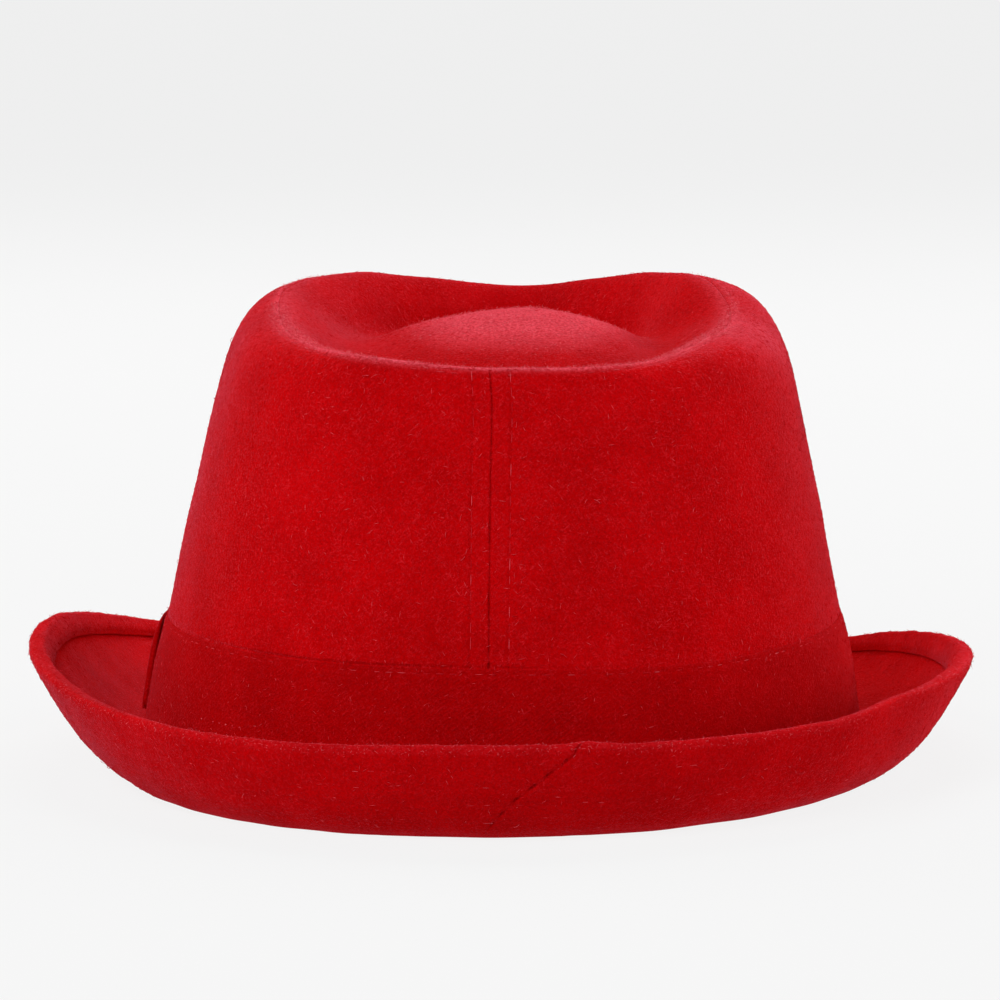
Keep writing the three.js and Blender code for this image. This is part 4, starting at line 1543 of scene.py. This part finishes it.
@dataclass
class Brim:
    """The brim: its upper layer, and its under layer turned over the edge as a hem. Sizes in mm."""

    form: BrimForm
    finishes: Finishes
    slot: str = "brim_wool"
    columns: Array = field(default_factory=lambda: bearings(360, -3.0, 13.0, 0.16))
    stitch_steps: tuple[float, ...] = (0.46, 0.58, 0.70, 0.81, 0.89, 0.95)
    width: float = 46.0
    hem_puff: float = 0.12
    hem_thin: float = 0.8
    hem_low: float = 0.22
    join_steps: tuple[float, ...] = (0.5, 0.69, 0.76, 0.835, 0.89, 0.935, 0.98, 1.009, 1.1)
    join_turns: tuple[float, ...] = (-1.6, 0.5, 1.6, 3.0, 4.7, 6.2, 7.9, 9.2, 11.0)
    join_over: float = 0.1
    join_depth: float = 0.18
    join_width: float = 0.26
    pit_depth: float = 0.9
    pit_width: float = 0.5
    near_span: float = 80.0
    edge_span: float = 82.0
    edge_lumps: SoftLumps = SoftLumps(height=0.11, length=5.0, seed=23)
    edge_nap: float = 1.4
    edge_fuzz: float = 0.5
    fuzz_place: float = 0.2
    # Painted highlight: a faint pale pink painted over the top of the rounded outer edge, where it catches
    # the light.
    edge_highlight: float = 0.04
    highlight_place: float = 0.25
    edge_share: float = 0.25
    clear_from: float = 1.5
    clear_span: float = 2.5
    inner_levels: tuple[float, ...] = (0.85, 0.5, 0.15)
    inner_bulge: tuple[float, ...] = (-0.3, -0.45, -0.3)
    row_depth: float = 0.08
    row_width: float = 0.8
    thread_lift: float = 0.1
    thread_depth: float = 0.45

    def under_relief(self, bearing: Array, step: Array) -> Array:
        """How far the underside is pressed in: by the stitch rows and along the slanted join at the back.

        Args:
            bearing: Bearings in degrees.
            step: Shares of the brim's width.

        Returns:
            Depths in an array of bearings by steps.
        """
        presses = (bell((step - row) * self.width, self.row_width) for row in self.stitch_steps)
        rows = sum(self.row_depth * press for press in presses)
        middle = np.interp(step, self.join_steps, self.join_turns)
        reach = self.form.oval.half_length + self.form.sections.at("edge_out", np.zeros(1))[0]
        off = (signed(bearing)[:, None] - middle) * math.radians(1) * reach
        cut = self.join_depth * bell(off, self.join_width) * np.clip((step - self.join_steps[0]) / 0.1, 0, 1)
        pits = sum(bell((step - place) * self.width, self.pit_width) for place in self.join_steps[1:-1])
        return rows[None] + cut + self.pit_depth * pits * bell(off, self.pit_width)

    def join_path(self) -> Array:
        """The points where the thread of the slanted join shows.

        Returns:
            One point in each pit of the join.
        """
        depth = np.array([self.pit_depth * self.thread_depth])
        pits = zip(self.join_turns[1:-2], self.join_steps[1:-2])
        points = [self.form.points(np.array([turn]), np.array([step]), depth)[0, 0] for turn, step in pits]
        through = (self.join_steps[-2] - 1) / self.join_over
        level = np.array([self.form.hem_top * through])
        beyond = self.form.hem_top / 2 * math.sin(math.pi * math.sqrt(through)) - depth
        turn = np.array([self.join_turns[-2]])
        return np.array(points + [self.form.points(turn, np.ones(1), level, beyond)[0, 0]])

    def build_under(self) -> Piece:
        """The under layer: the underside, the rounded edge, the hem on top and the face inside the fold.

        Returns:
            The object.
        """
        form, half = self.form, math.pi / 2
        under = np.concatenate([np.linspace(0, 0.4, 9, endpoint=False), np.linspace(0.4, 1, 64)])
        edge, lip = np.linspace(-half, half, 14)[1:-1], np.linspace(half, -half, 9)[1:-1]
        hem, tuck = np.linspace(1, form.hem_start, 9), np.linspace(form.hem_start, 1, 4)
        fold, back = np.linspace(half, -half, 6)[1:-1], np.linspace(1, 0, 14)
        middle, radius = form.hem_top / 2, form.hem_top / 2
        through = (1 + np.sin(edge)) / 2
        inwards = (1 - hem) / (1 - form.hem_start)
        puff = self.hem_puff * np.sin(math.pi * inwards) - self.hem_thin * inwards**4
        lip_radius = (form.layer - self.hem_thin + self.hem_low) / 2
        lip_middle = form.hem_face - self.hem_low + lip_radius
        outer = [under, np.ones_like(edge), hem, np.full_like(lip, form.hem_start)]
        step = np.concatenate([*outer, tuck, np.ones_like(fold), back, [0, 0, 0]])
        fixed = np.concatenate(
            [
                middle + radius * np.sin(edge),
                form.hem_top + puff,
                lip_middle + lip_radius * np.sin(lip),
                np.full_like(tuck, form.hem_face),
                middle + (radius - form.layer) * np.sin(fold),
                np.full_like(back, form.layer),
                form.layer * np.array(self.inner_levels),
            ]
        )
        beyond = np.concatenate(
            [
                0 * under,
                0 * edge,
                0 * hem,
                -lip_radius * np.cos(lip),
                0 * tuck,
                (radius - form.layer) * np.cos(fold),
                0 * back,
                self.inner_bulge,
            ]
        )
        relief = self.under_relief(self.columns, np.concatenate([under, 1 + self.join_over * through]))
        distance = np.concatenate([0 * under, fixed]) + np.zeros((len(self.columns), 1))
        distance[:, : len(under)] += relief[:, : len(under)]
        distance[:, len(under) : len(under) + len(edge)] += relief[:, len(under) :] * (1 - through)
        hidden = np.zeros(len(lip) + len(tuck) + len(fold) + len(back) + 3)
        nap = np.concatenate([np.ones_like(under), self.edge_nap + 0 * edge, np.ones_like(hem), hidden])
        fuzzy = self.edge_fuzz * bell(through - self.fuzz_place, self.edge_share)
        fuzz = np.concatenate([0 * under, fuzzy, 0 * hem, hidden])
        # Painted highlight along the rounded edge, strongest at the back.
        pale = self.edge_highlight * bell(through - self.highlight_place, self.edge_share)
        bloom = np.concatenate([0 * under, pale, 0 * hem, hidden])
        back_edge = 1 / (1 + (signed(self.columns) / self.edge_span) ** 10)[:, None]
        reach = beyond + np.zeros((len(self.columns), 1))
        reach[:, len(under) : len(under) + len(edge)] = radius * mix(
            np.cos(edge), np.sin(math.pi * np.sqrt(through)), back_edge
        )
        base = form.points(self.columns, np.ones(1), np.zeros(1))
        dents = self.edge_lumps.at(base) - relief[:, len(under) :]
        reach[:, len(under) : len(under) + len(edge)] += dents * np.cos(edge)
        outlines = form.points(self.columns, step, distance, reach)
        clear = np.clip((outlines[..., 2] - self.clear_from) / self.clear_span, 0, 1)
        near = bell(signed(self.columns), self.near_span)[:, None]
        wear = Wear(nap=nap * clear, fuzz=np.where(fuzz > 0.1, fuzz, 0) * near, bloom=bloom * near)
        return ring("brim_under_cloth", outlines, wear)

    def build_upper(self) -> Piece:
        """The upper layer, whose outer edge lies inside the fold of the hem.

        Returns:
            The object.
        """
        form = self.form
        below, over = np.linspace(0, 1, 10), np.linspace(1, 0, 40)
        step = np.concatenate([below, over])
        distance = form.upper_face + np.concatenate([0 * below, np.full_like(over, form.layer)])
        nap = np.concatenate([0 * below, np.where(over < form.hem_start, 1.0, 0.0)])
        turns = np.arange(0, 360, 0.9)
        return ring("brim_upper_cloth", form.points(turns, step, distance), Wear(nap=nap))

    def build(self) -> None:
        """Builds and dresses both layers, the stitch rows and the nap."""
        under, upper = self.build_under(), self.build_upper()
        settle(under, self.finishes.brim, self.slot, "brim_under")
        settle(upper, self.finishes.brim, self.slot, "brim_upper")
        turns = np.linspace(0, 360, 361)
        lift = np.array([self.thread_lift])
        paths = [self.form.points(turns, np.array([row]), lift)[:, 0] for row in self.stitch_steps]
        rows = Stitching(pitch=3.7, length=2.0, radius=0.065, kept=0.15, seed=7)
        rows.sew("brim_row_stitches", paths, self.finishes.thread, self.slot)
        path = self.join_path()
        gaps = np.linalg.norm(np.diff(path, axis=0), axis=1)
        knots = Stitching(pitch=gaps.mean(), length=0.55, radius=0.15, kept=1.0, seed=12)
        knots.sew("brim_join_stitches", [path], self.finishes.fuzz, self.slot)
        nap = LooseWool(Fibre.NAP, density=4.6e5, length=0.0013, width=0.0001, lift=0.11, seed=31)
        nap.grow(under, "brim_under_nap", self.finishes.nap, self.slot)
        nap.grow(upper, "brim_upper_nap", self.finishes.nap, self.slot)
        fuzz = LooseWool(Fibre.FUZZ, density=6e6, length=0.0006, width=0.00007, lift=1.0, seed=34)
        fuzz.grow(under, "brim_under_fuzz", self.finishes.fuzz, self.slot)
        strays = LooseWool(Fibre.STRAY, density=1.6e3, length=0.0012, width=0.00009, lift=0.1, seed=33)
        strays.grow(under, "brim_strays", self.finishes.thread, self.slot)


@dataclass(frozen=True)
class SoftBox:
    """One soft studio lamp, in metres from the crown's axis."""

    name: str
    place: tuple[float, float, float]
    size: float
    power: float

    def add(self, aim: Array) -> None:
        """Adds the lamp, turned to the point that it lights.

        Args:
            aim: The point, in metres.
        """
        data = bpy.data.lights.new(self.name, "AREA")
        data.shape, data.size, data.energy = "DISK", self.size, self.power
        lamp = bpy.data.objects.new(self.name, data)
        lamp.location = self.place
        lamp.rotation_euler = Vector(aim - np.array(self.place)).to_track_quat("-Z", "Y").to_euler()
        bpy.context.scene.collection.objects.link(lamp)


@dataclass(frozen=True)
class Studio:
    """The pale floor, the soft light and the camera behind the hat."""

    distance: float = 1.3
    azimuth: float = 1.55
    height: float = 0.21124
    aim_up: float = 0.06259
    aim_right: float = -0.00072
    focal: float = 5.32719
    sensor: float = 36.0
    sight_end: float = 100.0
    floor_radius: float = 16.0
    floor_sides: int = 96
    floor_glow: float = 0.58
    floor_seen: float = 0.28
    floor_tones: tuple[float, float] = (0.045, 0.055)
    sky: float = 0.86
    lamps: tuple[SoftBox, ...] = (
        SoftBox("top_lamp", (0.0, 1.3, 1.5), 1.4, 29.0),
        SoftBox("key_lamp", (-0.9, -1.7, 1.35), 1.2, 36.6),
        SoftBox("left_lamp", (-2.0, -0.3, 0.2), 1.2, 8.0),
        SoftBox("right_lamp", (2.0, 0.0, 0.5), 1.2, 23.5),
        SoftBox("far_left_lamp", (-1.5, 1.2, 1.0), 1.2, 16.0),
        SoftBox("far_right_lamp", (1.5, 1.2, 1.0), 1.2, 18.5),
    )

    def build(self) -> None:
        """Adds the floor, the lamps, the sky and the camera."""
        scene = bpy.context.scene
        scene.view_settings.view_transform = "Standard"
        self.add_floor()
        aim = crown_axis() + np.array([0, 0, self.aim_up])
        for lamp in self.lamps:
            lamp.add(aim)
        world = bpy.data.worlds.new("studio_sky")
        world.use_nodes = True
        maker = TreeMaker(world.node_tree)
        seen = maker.math("MULTIPLY", maker.node("ShaderNodeLightPath").outputs["Is Camera Ray"], self.sky)
        world.node_tree.links.new(seen, world.node_tree.nodes["Background"].inputs["Strength"])
        world.node_tree.nodes["Background"].inputs["Color"].default_value = WHITE
        scene.world = world
        self.add_camera()

    def add_floor(self) -> None:
        """Adds the pale floor, level with the brim's lowest line."""
        turns = np.linspace(0, 2 * math.pi, self.floor_sides, endpoint=False)
        rim = np.stack([np.sin(turns), -np.cos(turns), 0 * turns], 1) * self.floor_radius / MM
        floor = add_object("studio_floor", rim, [list(range(len(rim)))])
        material = bpy.data.materials.new("pale_floor")
        material.use_nodes = True
        maker = TreeMaker(material.node_tree)
        shader = material.node_tree.nodes["Principled BSDF"]
        place = maker.node("ShaderNodeTexCoord").outputs["Object"]
        dark, light = ((tone, tone, tone, 1.0) for tone in self.floor_tones)
        tone = maker.blend(maker.noise(place, 1.3, 2.0), dark, light)
        material.node_tree.links.new(tone, shader.inputs["Base Color"])
        shader.inputs["Emission Color"].default_value = WHITE
        sight = maker.node("ShaderNodeLightPath").outputs["Is Camera Ray"]
        seen = maker.math("MULTIPLY", sight, self.floor_seen)
        glow = maker.math("ADD", seen, self.floor_glow)
        material.node_tree.links.new(glow, shader.inputs["Emission Strength"])
        shader.inputs["Roughness"].default_value = 0.9
        shader.inputs["Specular IOR Level"].default_value = 0.0
        floor.data.materials.append(material)

    def add_camera(self) -> None:
        """Adds the camera at the photograph's angle, with a long lens and no shift."""
        turn = math.radians(self.azimuth)
        right = np.array([math.cos(turn), math.sin(turn), 0.0])
        away = np.array([math.sin(turn), -math.cos(turn), 0.0])
        place = crown_axis() + away * self.distance + np.array([0, 0, self.height])
        aim = crown_axis() + right * self.aim_right + np.array([0, 0, self.aim_up])
        data = bpy.data.cameras.new("camera")
        data.sensor_width = self.sensor
        data.lens = self.focal * self.sensor
        data.clip_end = self.sight_end
        camera = bpy.data.objects.new("camera", data)
        camera.location = place
        camera.rotation_euler = Vector(aim - place).to_track_quat("-Z", "Y").to_euler()
        bpy.context.scene.collection.objects.link(camera)
        bpy.context.scene.camera = camera


def main() -> None:
    """Builds the studio and the hat in order, and notes the size of the dressed model."""
    logging.basicConfig(level=logging.INFO, format="%(name)s: %(message)s")
    Studio().build()
    finishes = make_finishes()
    crown = CrownForm()
    Crown(crown, finishes).build()
    Band(crown, finishes).build()
    Brim(BrimForm(), finishes).build()


if __name__ == "__main__":
    main()
